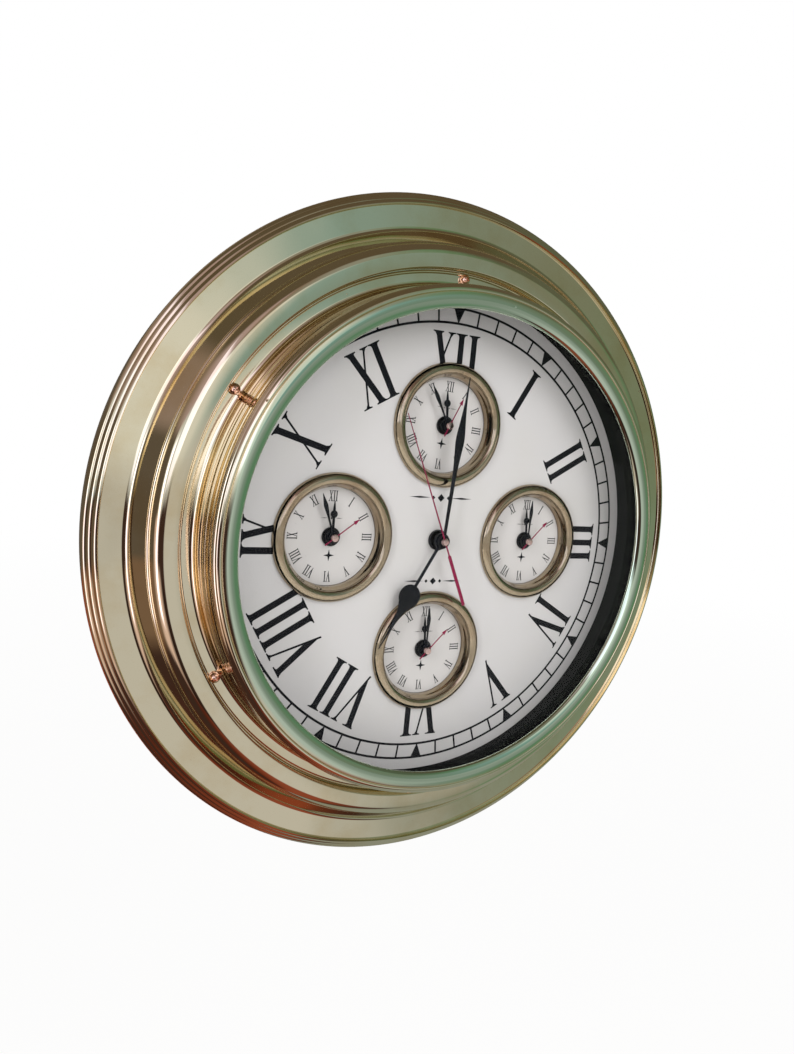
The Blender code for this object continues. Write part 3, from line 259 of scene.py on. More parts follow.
shape = bmesh.new()
bmesh.ops.create_grid(shape, x_segments=8, y_segments=8, size=FLOOR_REACH)
bmesh.ops.translate(shape, verts=shape.verts, vec=(0, 0, FLOOR_LEVEL))
mesh = bpy.data.meshes.new("floor")
shape.to_mesh(mesh)
shape.free()
paint = bpy.data.materials.new("pale_matt_floor_paint")
paint.use_nodes = True
tree = paint.node_tree
shader = tree.nodes["Principled BSDF"]
shader.inputs["Base Color"].default_value = linear(FLOOR_COLOUR)
shader.inputs["Roughness"].default_value = 0.8
glow = add(tree, "ShaderNodeEmission", {"Color": linear(WHITE), "Strength": 1.0})
place = add(tree, "ShaderNodeTexCoord").outputs["Object"]
away = add(tree, "ShaderNodeVectorMath", links={0: place}, operation="LENGTH").outputs["Value"]
fade = add(tree, "ShaderNodeMapRange",
           {"From Min": FLOOR_FADE[0], "From Max": FLOOR_FADE[1], "To Min": FLOOR_GLOW[0],
            "To Max": FLOOR_GLOW[1]}, {"Value": away})
seen = add(tree, "ShaderNodeMath",
           links={0: add(tree, "ShaderNodeLightPath").outputs["Is Camera Ray"],
                  1: fade}, operation="MULTIPLY")
both = add(tree, "ShaderNodeMixShader", links={0: seen, 1: shader, 2: glow})
tree.links.new(both.outputs[0], tree.nodes["Material Output"].inputs["Surface"])
mesh.materials.append(paint)
floor = bpy.data.objects.new("floor", mesh)
floor.visible_glossy = False
scene.collection.objects.link(floor)
print(len(LAMPS), "softboxes, and a floor", -FLOOR_LEVEL, "m below the clock's middle")

# %% [markdown]
# ## Making pieces
#
# Almost everything on this clock was turned on a lathe, so one function spins an outline of
# radius and height points. Flat pieces are plates cut to an outline. A third function makes the
# object, gives it its finish, and hangs it on the body that it moves with.

# %% Shapes and pieces
FINE = 256
SMALL = 128
TINY = 40
SHARP = 32


def spot(x, height, z):
    """A point in metres from millimetres."""
    return Vector((x * MM, -height * MM, z * MM))


def polar(radius, angle):
    """The (x, z) of a point at a clock angle, in degrees clockwise from XII."""
    return radius * sin(radians(angle)), radius * cos(radians(angle))


def oblong(left, right, low, high):
    """The four corners of an upright oblong."""
    return [(left, low), (right, low), (right, high), (left, high)]


def arc(centre, radius, start, end, steps, rise=None):
    """Points of an arc or, with a rise, of an ellipse that is that tall."""
    tall = radius if rise is None else rise
    angles = [radians(start + (end - start) * i / steps) for i in range(steps + 1)]
    return [(centre[0] + radius * cos(a), centre[1] + tall * sin(a)) for a in angles]


def bead(start, end, swell, steps=8):
    """Points of a rolled bead from start to end, which stands proud to the left of its way."""
    run = Vector(end) - Vector(start)
    out = Vector((-run.y, run.x)).normalized() * swell
    return [tuple(Vector(start) + run * i / steps + out * sin(pi * i / steps))
            for i in range(steps + 1)]


def smooth(points, steps=6):
    """A smooth curve through the points, a Catmull-Rom spline."""
    ends = [points[0], *points, points[-1]]
    curve = []
    for a, b, c, d in zip(ends, ends[1:], ends[2:], ends[3:]):
        a, b, c, d = map(Vector, (a, b, c, d))
        for i in range(steps):
            t = i / steps
            curve.append(tuple(b + (c - a) * t / 2 + (2 * a - 5 * b + 4 * c - d) * t * t / 2
                               + (3 * b - a - 3 * c + d) * t ** 3 / 2))
    return curve + [points[-1]]


def turned(outline, facets, centre=(0, 0)):
    """Spin a closed (radius, height) outline about a line that runs front to back."""
    shape = bmesh.new()
    points = [shape.verts.new(spot(radius, height, 0)) for radius, height in outline]
    links = list(zip(points, points[1:]))
    if min(radius for radius, _ in outline) > 0:
        links.append((points[-1], points[0]))
    edges = [shape.edges.new(link) for link in links]
    bmesh.ops.spin(shape, geom=points + edges, cent=(0, 0, 0), axis=(0, 1, 0), angle=2 * pi,
                   steps=facets, use_merge=True)
    bmesh.ops.remove_doubles(shape, verts=shape.verts, dist=MM / 1000)
    bmesh.ops.recalc_face_normals(shape, faces=shape.faces)
    bmesh.ops.translate(shape, verts=shape.verts, vec=spot(centre[0], 0, centre[1]))
    return shape


def plate(outline, low, high):
    """A flat solid with an (x, z) outline, between two heights."""
    shape = bmesh.new()
    face = shape.faces.new([shape.verts.new(spot(x, low, z)) for x, z in outline])
    grown = bmesh.ops.extrude_face_region(shape, geom=[face])
    moved = [item for item in grown["geom"] if isinstance(item, bmesh.types.BMVert)]
    bmesh.ops.translate(shape, verts=moved, vec=spot(0, high - low, 0))
    bmesh.ops.recalc_face_normals(shape, faces=shape.faces)
    return shape


def gather(shapes):
    """One shape from several separate ones."""
    whole = bmesh.new()
    for shape in shapes:
        part = bpy.data.meshes.new("part")
        shape.to_mesh(part)
        whole.from_mesh(part)
        bpy.data.meshes.remove(part)
        shape.free()
    return whole


def piece(name, shape, material, body, stands_for=(), centre=(0, 0), angle=0.0):
    """A finished piece, drawn about its own centre and turned to its clock angle."""
    mesh = bpy.data.meshes.new(name)
    shape.to_mesh(mesh)
    shape.free()
    mesh.materials.append(material)
    mesh.shade_smooth()
    mesh.set_sharp_from_angle(angle=radians(SHARP))
    thing = bpy.data.objects.new(name, mesh)
    thing.location = spot(centre[0], 0, centre[1])
    thing.rotation_euler = (0.0, radians(angle), 0.0)
    scene.collection.objects.link(thing)
    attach(thing, body)
    if stands_for:
        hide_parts(*stands_for)
    print(name.ljust(24), len(mesh.polygons), "faces on", body)
    return thing


def levels(node):
    """The lowest and highest height of a fixed node, in millimetres."""
    low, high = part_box(node)
    return -high.y / MM, -low.y / MM


def centre_of(node):
    """The (x, z) of the middle of a fixed node, in millimetres."""
    low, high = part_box(node)
    return (low.x + high.x) / 2 / MM, (low.z + high.z) / 2 / MM


def points_to(node, centre):
    """How far a fixed hand reaches from its centre, and the clock angle of its tip."""
    ways = [(v.co.x / MM - centre[0], v.co.z / MM - centre[1])
            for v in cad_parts[node].data.vertices]
    x, z = max(ways, key=lambda way: hypot(*way))
    return hypot(x, z), degrees(atan2(x, z)) % 360


# %% [markdown]
# ## One recipe for most surfaces
#
# Most surfaces here are one colour that drifts in soft clouds, some with a haze, some with a fine
# grain such as orange peel, and some with spots of dust or tarnish. A few functions hold that
# recipe, so a real surface only needs its own colours, its own sizes in millimetres and its gloss.

# %% Clouds, haze, grain and spots
def blank(name, **values):
    """A new material named for the real one, its tree and its shader with fixed values."""
    made = bpy.data.materials.new(name)
    made.use_nodes = True
    shader = made.node_tree.nodes["Principled BSDF"]
    for socket, value in values.items():
        shader.inputs[socket.replace("_", " ")].default_value = value
    return made, made.node_tree, shader


def clouded(name, stops, size, detail=3.0, raggedness=0.5, haze=None, grain=None, **fixed):
    """A surface whose colour drifts in clouds of this size. Haze is the range of roughness that
    follows them. Grain is the size, detail, strength and depth of a fine bump."""
    made, tree, shader = blank(name, **fixed)
    place = add(tree, "ShaderNodeTexCoord").outputs["Object"]
    clouds = add(tree, "ShaderNodeTexNoise", {"Scale": 1 / (size * MM), "Detail": detail,
                                              "Roughness": raggedness}, {"Vector": place})
    colour = add(tree, "ShaderNodeValToRGB", links={0: clouds.outputs["Fac"]}, stops=stops)
    tree.links.new(colour.outputs[0], shader.inputs["Base Color"])
    if haze:
        dull = add(tree, "ShaderNodeMapRange", {"To Min": haze[0], "To Max": haze[1]},
                   {"Value": clouds.outputs["Fac"]})
        tree.links.new(dull.outputs[0], shader.inputs["Roughness"])
    if grain:
        grain_size, grain_detail, strength, depth = grain
        fine = add(tree, "ShaderNodeTexNoise",
                   {"Scale": 1 / (grain_size * MM), "Detail": grain_detail}, {"Vector": place})
        bump = add(tree, "ShaderNodeBump", {"Strength": strength, "Distance": depth * MM},
                   {"Height": fine.outputs["Fac"]})
        tree.links.new(bump.outputs["Normal"], shader.inputs["Normal"])
    print("finish", name)
    return made


def overlay(tree, code, share):
    """Mix one more colour over those that a surface already has."""
    painted = tree.nodes["Principled BSDF"].inputs["Base Color"]
    mix = add(tree, "ShaderNodeMix", {7: linear(code)},
              {0: share, 6: painted.links[0].from_socket}, data_type="RGBA")
    tree.links.new(mix.outputs[2], painted)


def speckle(tree, code, size, detail, span, share):
    """Lay spots of one more colour over a surface, and return how strong they are."""
    place = add(tree, "ShaderNodeTexCoord").outputs["Object"]
    specks = add(tree, "ShaderNodeTexNoise", {"Scale": 1 / (size * MM), "Detail": detail},
                 {"Vector": place})
    strength = add(tree, "ShaderNodeMapRange",
                   {"From Min": span[0], "From Max": span[1], "To Max": share},
                   {"Value": specks.outputs["Fac"]})
    overlay(tree, code, strength)
    return strength


# %% [markdown]
# ## Brass
#
# The case is sheet brass, spun over a form, buffed and lacquered. Buffing gives a clear but never
# quite flat mirror, and the tool leaves faint rings. Under the lacquer lie cloudy patches, and
# small brown spots where the lacquer has pinholes. Brass tarnishes from yellow towards copper
# brown, so the clouds only move the colour that way.

# %% Brass
BRASS = "#f0e4c9"
BRASS_CLOUD = "#e4cfa9"
BRASS_SPOT = "#a07a48"
CLOUD_SIZE = 34.0
SPOT_SIZE = 4.0
SPOT_RANGE = (0.76, 0.84)
SPOT_SHARE = 0.7
RING_SPACING = 1.6
RING_DEPTH = 0.02
WAVE_SIZE = 46.0


def turned_from(tree):
    """How far a point lies from the piece's own axis, and its place, in metres."""
    place = add(tree, "ShaderNodeTexCoord").outputs["Object"]
    flat = add(tree, "ShaderNodeVectorMath", {1: (1.0, 0.0, 1.0)}, {0: place},
               operation="MULTIPLY")
    return add(tree, "ShaderNodeVectorMath", links={0: flat},
               operation="LENGTH").outputs["Value"], place


def spun_brass(name, base, cloud, smoothest, roughest, wave, painted_reflection=None):
    """Spun, buffed and lacquered sheet brass: a soft mirror with tool rings, clouds and spots.
    The last argument is a painted green reflection of cool light, given as its colour and
    the radii where it ends and is full."""
    made = clouded(name, [(0.0, base), (0.46, base), (0.78, cloud), (1.0, cloud)], CLOUD_SIZE,
                   5.0, 0.6, haze=(smoothest, roughest), Metallic=1.0)
    tree = made.node_tree
    shader = tree.nodes["Principled BSDF"]
    radius, place = turned_from(tree)
    brown = speckle(tree, BRASS_SPOT, SPOT_SIZE, 2.0, SPOT_RANGE, SPOT_SHARE)
    # Painted reflection: a cool green laid over the brass by radius, for cool light mirrored on
    # the lip.
    if painted_reflection:
        tint, reflection_end, reflection_start = painted_reflection
        share = add(tree, "ShaderNodeMapRange",
                    {"From Min": reflection_end * MM, "From Max": reflection_start * MM}, {"Value": radius},
                    interpolation_type="SMOOTHSTEP")
        overlay(tree, tint, share)
    hazy = shader.inputs["Roughness"].links[0].from_socket
    dull = add(tree, "ShaderNodeMath", links={0: brown, 1: hazy}, operation="MAXIMUM")
    tree.links.new(dull.outputs[0], shader.inputs["Roughness"])
    rings = add(tree, "ShaderNodeTexNoise", {"Scale": 1 / (RING_SPACING * MM), "Detail": 2.0},
                {"W": radius}, noise_dimensions="1D")
    tooled = add(tree, "ShaderNodeBump", {"Strength": 0.05, "Distance": RING_DEPTH * MM},
                 {"Height": rings.outputs["Fac"]})
    waves = add(tree, "ShaderNodeTexNoise", {"Scale": 1 / (WAVE_SIZE * MM), "Detail": 1.0},
                {"Vector": place})
    beaten = add(tree, "ShaderNodeBump", {"Strength": 1.0, "Distance": wave * MM},
                 {"Height": waves.outputs["Fac"], "Normal": tooled.outputs["Normal"]})
    tree.links.new(beaten.outputs["Normal"], shader.inputs["Normal"])
    return made


# Brass is red and yellow in its own shine, so everything it mirrors turns warm. The small bezels
# are darker and browner as painted shade, the lip's green is a painted reflection, and the screws
# have more copper, which makes them pink.
case_brass = spun_brass("spun_lacquered_brass", BRASS, BRASS_CLOUD, 0.03, 0.08, 0.5)
# The lip's green, laid on by radius, is a painted reflection of cool light.
lip_brass_with_painted_reflection = spun_brass("spun_brass_with_painted_green_lip_reflection", BRASS, BRASS_CLOUD, 0.03, 0.08, 0.3,
                       ("#d5e4ce", 130.0, 127.6))
# Painted shade: the small bezels' brass is a darker, browner copy of the case brass.
bezel_brass_with_painted_shade = spun_brass("turned_brass_darkened_as_painted_shade", "#b0a189", "#8f7459", 0.04, 0.10, 0.12)
screw_brass = spun_brass("machined_copper_rich_brass", "#f4cdb8", "#dfa98c", 0.10, 0.24, 0.0)

# %% [markdown]
# ## The wall flange
#
# This is the large spun body. Its rim is stiffened by three rolled beads, then come a flat band, a
# cove, a rounded shoulder and a flat ring. The fixed model holds it with few facets. Here the
# outline is spun with fine arcs, because a mirror shows every facet, and it gets the small beads
# that the tool left at the rim and at the crease. The broad streak of one colour in the cove means
# that its side is straight, so it bends up from the band and then runs up as a cone.

# %% Wall flange
SHEET = 0.8
RIM_STEP = 2.2
BAND_TOP = 21.0
BAND_OUTER = 177.3
BAND_LEVEL = 18.85
BAND_EDGES = (176.9, 166.2)
BEND_ROUND = 4.0
CONE_SLOPE = 52
CONE_TOP = 157.3
COVE_CENTRE = 166.5
CREASE = 28.8
COVE_ROUND = 10.0
SHOULDER_CENTRE = 150.2
SHOULDER_ROUND = 6.3
RECESS_RADIUS = 143.4
RECESS_EDGE = 0.9
FLOOR_HOLE = 133.8
FLOOR_HEIGHTS = (27.8, 28.6)
BACK_RADIUS = 181.9
COVER_SEAT = 175.7
SEAT_RADIUS = 168.3
SEAT_LOW = 1.7
RIB_DEPTH = 0.28
RIBS = 4
RIB_STEPS = 8
BEADS = 3
BEAD_DEPTH = 0.55
PINCH_DEPTH = 0.3

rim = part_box("wall_flange")[1].x / MM
shoulder_top = levels("wall_flange")[1]


def rim_outline():
    """From the back edge round the ribbed side and over the three beads to the flat band."""
    side_top = BAND_TOP - BEADS * RIM_STEP
    side = []
    for i in range(RIBS * RIB_STEPS + 1):
        t = i / (RIBS * RIB_STEPS)
        swell = RIB_DEPTH * abs(sin(pi * RIBS * t))
        side.append((BACK_RADIUS + (rim - RIB_DEPTH - BACK_RADIUS) * t + swell, side_top * t))
    beads = []
    for i in range(BEADS):
        start = (rim - RIM_STEP * i - (RIB_DEPTH if i == 0 else 0), side_top + RIM_STEP * i)
        end = (rim - RIM_STEP * (i + 1), side_top + RIM_STEP * (i + 1))
        beads += bead(start, end, -BEAD_DEPTH)[1:]
    return side + beads


def flange_outline():
    """The whole section: over the rim, band, cove and shoulder, and back along the inside."""
    band = [(BAND_EDGES[0] + 0.25, BAND_LEVEL + 0.9), (BAND_EDGES[0] + 0.05, BAND_LEVEL + 0.35)]
    band += [(radius, BAND_LEVEL) for radius in (BAND_EDGES[0] - 0.3, BAND_EDGES[1])]
    cove = arc((BAND_EDGES[1], BAND_LEVEL + BEND_ROUND), BEND_ROUND, 270, 270 - CONE_SLOPE, 20)[1:]
    bend_end = cove[-1]
    rise = tan(radians(CONE_SLOPE))
    for radius in (bend_end[0] - 2, CONE_TOP):
        cove.append((radius, bend_end[1] + (bend_end[0] - radius) * rise))
    pinch = bead(cove[-1], (COVE_CENTRE - COVE_ROUND, CREASE + 0.3), -PINCH_DEPTH, 6)[1:]
    shoulder = arc((SHOULDER_CENTRE, CREASE), SHOULDER_ROUND, 4, 90, 24)
    edge = arc((RECESS_RADIUS + RECESS_EDGE, shoulder_top - RECESS_EDGE), RECESS_EDGE, 90, 180, 6)
    low, high = FLOOR_HEIGHTS
    inside = [
        (RECESS_RADIUS, high), (FLOOR_HOLE, high), (FLOOR_HOLE, low),
        (RECESS_RADIUS + SHEET, low), (RECESS_RADIUS + SHEET, shoulder_top - SHEET - RECESS_EDGE),
        *arc((SHOULDER_CENTRE, CREASE), SHOULDER_ROUND - SHEET, 90, 0, 12),
        *arc((COVE_CENTRE, CREASE), COVE_ROUND + SHEET, 180, 270, 12)[1:],
        (BAND_OUTER - SHEET, BAND_LEVEL - SHEET), (rim - 1.6, BAND_TOP - BEADS * RIM_STEP - SHEET),
        (BACK_RADIUS - SHEET, SHEET), (COVER_SEAT + SHEET, SHEET),
        (COVER_SEAT + SHEET, SEAT_LOW + SHEET), (SEAT_RADIUS, SEAT_LOW + SHEET),
        (SEAT_RADIUS, SEAT_LOW), (COVER_SEAT, SEAT_LOW), (COVER_SEAT, 0.3),
        (COVER_SEAT + 0.3, 0), (BACK_RADIUS - 0.4, 0),
    ]
    return rim_outline() + band + cove + pinch + shoulder + edge + inside


piece("spun_flange", turned(flange_outline(), FINE), case_brass, "case", ["wall_flange"])

# %% [markdown]
# ## The bezel ring
#
# A second spun ring makes the neck. Its foot lies in the groove, a fillet runs up into the neck,
# and the top is rolled over into a wide lip that holds the glass. Two thin beads and a groove mark
# where the roll starts, and they show in the photograph as a double bright line. The spinner's
# tool left shallow ripples on the neck, and a mirror turns those into bright and dark streaks.

# %% Bezel ring
NECK_BORE = 132.7
NECK_FOOT = 134.8
NECK_TOP = 133.5
NECK_RIPPLE = 0.12
NECK_RIPPLES = 3.5
NECK_STEPS = 36
FOOT_RADIUS = 143.1
FOOT_HEIGHTS = (28.9, 29.7)
FILLET = 3.0
LIP_BACK = 53.3
LIP_EDGE = (121.7, 54.9)
LIP_CREST = 127.5
LIP_GROOVE = 130.0
LIP_BEAD = 131.9
LIP_HOOK = 2.0
FOOT_BEAD = 0.7
LIP_BEADS = 0.38

lip_top = levels("bezel_ring")[1]


def bezel_outline():
    """The whole section: foot, fillet, rippled neck, beads, rolled lip, and back down the bore."""
    low, high = FOOT_HEIGHTS
    foot = [(FOOT_RADIUS, low),
            *bead((FOOT_RADIUS, high - 0.3), (FOOT_RADIUS - 1.9, high), -FOOT_BEAD)]
    fillet = arc((NECK_FOOT + FILLET, high + FILLET), FILLET, 270, 180, 12)
    foot_end = fillet[-1]
    neck_end = (NECK_TOP + 0.1, LIP_BACK - 0.6)
    neck = []
    for i in range(1, NECK_STEPS + 1):
        t = i / NECK_STEPS
        swell = NECK_RIPPLE * sin(2 * pi * NECK_RIPPLES * t) * sin(pi * t)
        neck.append((foot_end[0] + (neck_end[0] - foot_end[0]) * t + swell,
                     foot_end[1] + (neck_end[1] - foot_end[1]) * t))
    beads = bead(neck[-1], (NECK_TOP - 0.1, LIP_BACK + 1.0), -LIP_BEADS)[1:]
    beads += bead(beads[-1], (LIP_BEAD + 0.9, LIP_BACK + 2.4), -LIP_BEADS)[1:]
    roll = smooth([beads[-1], (LIP_BEAD + 0.3, lip_top - 1.05), (LIP_BEAD - 0.7, lip_top - 0.62),
                   (LIP_GROOVE + 0.35, lip_top - 0.62), (LIP_GROOVE, lip_top - 0.95)], 4)[1:]
    crest = [(LIP_GROOVE - 0.35, lip_top - 0.35)]
    crest += arc((LIP_CREST, LIP_EDGE[1]), LIP_CREST - LIP_EDGE[0], 88, 180, 30,
                 lip_top - LIP_EDGE[1])
    under = [(LIP_EDGE[0] + 0.25, LIP_EDGE[1] - 0.5), (LIP_EDGE[0] + LIP_HOOK, LIP_BACK),
             (NECK_BORE, LIP_BACK), (NECK_BORE, low)]
    return foot + fillet + neck + beads + roll + crest + under


piece("spun_bezel", turned(bezel_outline(), FINE), lip_brass_with_painted_reflection, "case", ["bezel_ring"])

# %% [markdown]
# ## Bezel screws
#
# Six dome-headed brass screws hold the bezel down through its foot. Each head has a cross recess,
# left at its own angle by the hand that drove it. The recess is really cut with a Boolean, since
# a painted cross would lie flat on the mirror-bright dome.

# %% Bezel screws
SCREW_HEAD = 2.8
SCREW_DOME = 3.0
SCREW_RIM = 0.5
CROSS_ARM = 1.45
CROSS_HALF = 0.36
CROSS_DEPTH = 1.5
CROSS_ANGLES = (20, 75, 50, 8, 62, 38)


def combined(shape, tool, operation="DIFFERENCE"):
    """One shape cut by another for good. Islands of the first that overlap become one."""
    things = []
    for source in (shape, tool):
        mesh = bpy.data.meshes.new("source")
        source.to_mesh(mesh)
        source.free()
        things.append(bpy.data.objects.new("source", mesh))
        scene.collection.objects.link(things[-1])
    change = things[0].modifiers.new("Cut", "BOOLEAN")
    change.operation = operation
    change.solver = "EXACT"
    change.use_self = True
    change.object = things[1]
    bpy.context.view_layer.update()
    result = bmesh.new()
    result.from_object(things[0], bpy.context.evaluated_depsgraph_get())
    for thing in things:
        mesh = thing.data
        bpy.data.objects.remove(thing)
        bpy.data.meshes.remove(mesh)
    return result


def cross(arm, half):
    """The (x, z) outline of a cross."""
    quarter = [(half, half), (half, arm), (-half, arm)]
    return [(x * cos(a) - z * sin(a), x * sin(a) + z * cos(a))
            for a in (0, pi / 2, pi, 3 * pi / 2) for x, z in quarter]


for number, cross_angle in enumerate(CROSS_ANGLES, start=1):
    node = f"bezel_screw_{number}"
    head_top = levels(node)[1]
    foot = head_top - SCREW_DOME
    dome = [(0, foot), (SCREW_HEAD, foot),
            *arc((0, foot + SCREW_RIM), SCREW_HEAD, 0, 90, 14, SCREW_DOME - SCREW_RIM)]
    recess = plate(cross(CROSS_ARM, CROSS_HALF), head_top - CROSS_DEPTH, head_top + 1)
    head = combined(turned(dome, TINY), recess)
    piece(f"dome_screw_{number}", head, screw_brass, "case", [node],
          centre_of(node), cross_angle)

# %% [markdown]
# ## Glass, gasket and sleeve
#
# The glass is a flat disc. Clock glass is often coated so that it hardly mirrors, and the
# photograph shows no reflection on it, so its specular tint is dark. Lamp rays go straight
# through it by a mix with a transparent shader, which keeps the dial bright and free of noise.
# A nitrile rubber gasket lies on the glass under the lip, dull and a little grey with dust. A
# sleeve hides the edge. Its stove enamel is dead matt, so it reads as a plain black ring.

# %% Glass, gasket and sleeve
GLASS_RADIUS = 132.4
GLASS_CHAMFER = 0.3
SLEEVE = (131.4, 132.4)
SLEEVE_CHAMFER = 0.3
GASKET = (126.0, 132.2)
GASKET_GAP = 0.02

clear_glass, tree, shader = blank("coated_float_glass", Roughness=0.0, IOR=1.5,
                                  Transmission_Weight=1.0,
                                  Specular_Tint=(0.08, 0.08, 0.08, 1.0))
shader.inputs["Base Color"].default_value = linear(WHITE)
clear = add(tree, "ShaderNodeBsdfTransparent", {"Color": linear("#fbfdfc")})
kind = add(tree, "ShaderNodeLightPath")
passing = add(tree, "ShaderNodeMath", links={0: kind.outputs["Is Shadow Ray"],
                                             1: kind.outputs["Is Diffuse Ray"]},
              operation="MAXIMUM")
through = add(tree, "ShaderNodeMixShader", links={0: passing, 1: shader, 2: clear})
tree.links.new(through.outputs[0], tree.nodes["Material Output"].inputs["Surface"])

low, high = levels("main_glass")
pane = [(0, low), (GLASS_RADIUS - GLASS_CHAMFER, low), (GLASS_RADIUS, low + GLASS_CHAMFER),
        (GLASS_RADIUS, high - GLASS_CHAMFER), (GLASS_RADIUS - GLASS_CHAMFER, high), (0, high)]
piece("glass_pane", turned(pane, FINE), clear_glass, "case", ["main_glass"])

rubber = clouded("black_nitrile_rubber", [(0.0, "#141415"), (0.6, "#1a1a1b"), (1.0, "#2a2a2b")],
                 2.0, Roughness=0.62, IOR=1.52)
gasket_low = high + GASKET_GAP
gasket_high = LIP_BACK - GASKET_GAP
ring = oblong(*GASKET, gasket_low, gasket_high)
piece("rubber_gasket", turned(ring, FINE), rubber, "case")

black_paint = clouded("matt_black_stove_enamel",
                      [(0.0, "#101011"), (0.5, "#131315"), (1.0, "#18181a")], 14.0, 4.0,
                      grain=(0.5, 1.0, 0.05, 0.01), Roughness=0.9, IOR=1.45,
                      Specular_IOR_Level=0.05)
low, high = levels("inner_sleeve")
wall = [(SLEEVE[0], low), (SLEEVE[1], low), (SLEEVE[1], high),
        (SLEEVE[0] + SLEEVE_CHAMFER, high), (SLEEVE[0], high - SLEEVE_CHAMFER)]
piece("black_sleeve", turned(wall, FINE), black_paint, "case", ["inner_sleeve"])

# %% [markdown]
# ## Dials
#
# The dials are sprayed with off-white paint and baked. Baked paint is smooth with a faint orange
# peel, and an old dial yellows a little in soft clouds and gathers specks of dust. The main dial
# keeps the fixed model's mesh, because only its flat face shows. The small dials are turned
# again, finer, because the thin gap round them would show any flat edge.

# %% Dials
SPECK_SIZE = 1.1
SPECK_RANGE = (0.74, 0.80)
SPECK_SHARE = 0.35
SPECK_COLOUR = "#8e8881"


def dial_paint(name, tint, aged):
    """Baked off-white paint: nearly matt, softly clouded, with a few grey specks."""
    made = clouded(name, [(0.0, tint), (0.45, tint), (1.0, aged)], 60.0,
                   grain=(1.8, 1.0, 0.15, 0.02), Roughness=0.42, IOR=1.5)
    speckle(made.node_tree, SPECK_COLOUR, SPECK_SIZE, 1.0, SPECK_RANGE, SPECK_SHARE)
    return made


main_paint = dial_paint("baked_white_dial_paint", "#d4cfd1", "#d0cbc8")
small_paint = dial_paint("baked_white_small_dial_paint", "#d5cfd0", "#d1cbc9")

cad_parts["main_dial"].material_slots[0].material = main_paint

CLOCKS = ("top", "right", "bottom", "left")
SMALL_DIAL = 25.95
SMALL_HOLE = 4.3
for clock in CLOCKS:
    low, high = levels(f"{clock}_dial")
    disc = oblong(SMALL_HOLE, SMALL_DIAL, low, high)
    piece(f"{clock}_clock_dial", turned(disc, SMALL), small_paint, "case",
          [f"{clock}_dial"], centre_of(f"{clock}_dial"))

# %% [markdown]
# ## Roman numerals
#
# The numerals are printed in black ink, feet towards the centre, and each stands straight on its
# hour line. Every letter is made of strokes with bracketed serifs, like cut type, and the strokes
# of a numeral are joined into one shape. The small bezels cover the feet of XII, III, VI and IX,
# so those are cut back under the brass. Ink stands only a few hundredths of a millimetre proud,
# and screen ink dries dull, so it stays black from every side.

# %% Strokes, serifs and letters
ROMAN = ("XII", "I", "II", "III", "IV", "V", "VI", "VII", "VIII", "IX", "X", "XI")
GAPS = {"II": 1.1, "VI": 0.7, "IV": 0.7, "XI": 0.3, "IX": 0.3}
MAIN_TYPE = {"tall": 29.7, "wide": 1.0, "thick": 3.5, "thin": 1.1, "hair": 0.7, "bracket": 1.7}
SMALL_TYPE = {"tall": 5.6, "wide": 0.168, "thick": 0.52, "thin": 0.28, "hair": 0.24,
              "bracket": 0.3}
LETTERS = {
    "I": (7.15, [("thick", 3.575, 3.575, (0, 7.15), (0, 7.15))]),
    "V": (15.1, [("thick", 9.0, 2.55, None, (0, 6.7)), ("thin", 6.75, 12.85, None, (10.6, 15.1))]),
    "X": (14.2, [("thick", 11.0, 3.3, (7.6, 14.7), (0, 6.6)),
                 ("thin", 1.9, 11.8, (-0.7, 4.5), (9.4, 14.2))]),
}


def stroke(style, weight, foot, head, foot_serif, head_serif):
    """Outlines of one stroke and its serifs, from the middles of its ends."""
    wide, tall, hair, bracket = (style[key] for key in ("wide", "tall", "hair", "bracket"))
    half = style[weight] / 2

    def edge(side, v):
        return (foot + (head - foot) * v / tall) * wide + side * half

    outlines = [[(edge(-1, 0), 0), (edge(1, 0), 0), (edge(1, tall), tall), (edge(-1, tall), tall)]]
    for serif, base, way in ((foot_serif, 0, 1), (head_serif, tall, -1)):
        if serif is None:
            continue
        start = base + way * hair
        end = start + way * bracket
        outline = [(serif[0] * wide, base), (serif[1] * wide, base)]
        for side, corner in ((1, serif[1] * wide), (-1, serif[0] * wide)):
            reach = min(bracket, abs(corner - edge(side, start)))
            curve = [(edge(side, start) + side * reach * (1 - t) ** 2,
                      start + way * bracket * t ** 2) for t in (0, 0.25, 0.5, 0.75)]
            curve = [(corner, start), *curve, (edge(side, end), end)]
            outline += curve if side > 0 else curve[::-1]
        outlines.append(outline)
    return outlines


def vee(style, foot, head, thin_foot, thin_head):
    """The thick stroke of a V, which ends where the thin stroke's outer edge crosses it."""
    wide, tall = style["wide"], style["tall"]
    thick, thin = style["thick"] / 2, style["thin"] / 2
    left = (foot * wide - thick, head * wide - thick)
    right = (foot * wide + thick, head * wide + thick)
    outer = (thin_foot * wide + thin, thin_head * wide + thin)
    share = (right[0] - outer[0]) / (right[0] - right[1] + outer[1] - outer[0])
    fork = (right[0] + (right[1] - right[0]) * share, tall * share)
    return [(left[0], 0), fork, (right[1], tall), (left[1], tall)]


def letter(kind, style):
    """The outlines of a letter and its width."""
    width, strokes = LETTERS[kind]
    outlines = []
    for weight, *place in strokes:
        outlines += stroke(style, weight, *place)
    if kind == "V":
        (_, foot, head, *_), (_, thin_foot, thin_head, *_) = strokes
        outlines[0] = vee(style, foot, head, thin_foot, thin_head)
    return outlines, width * style["wide"]


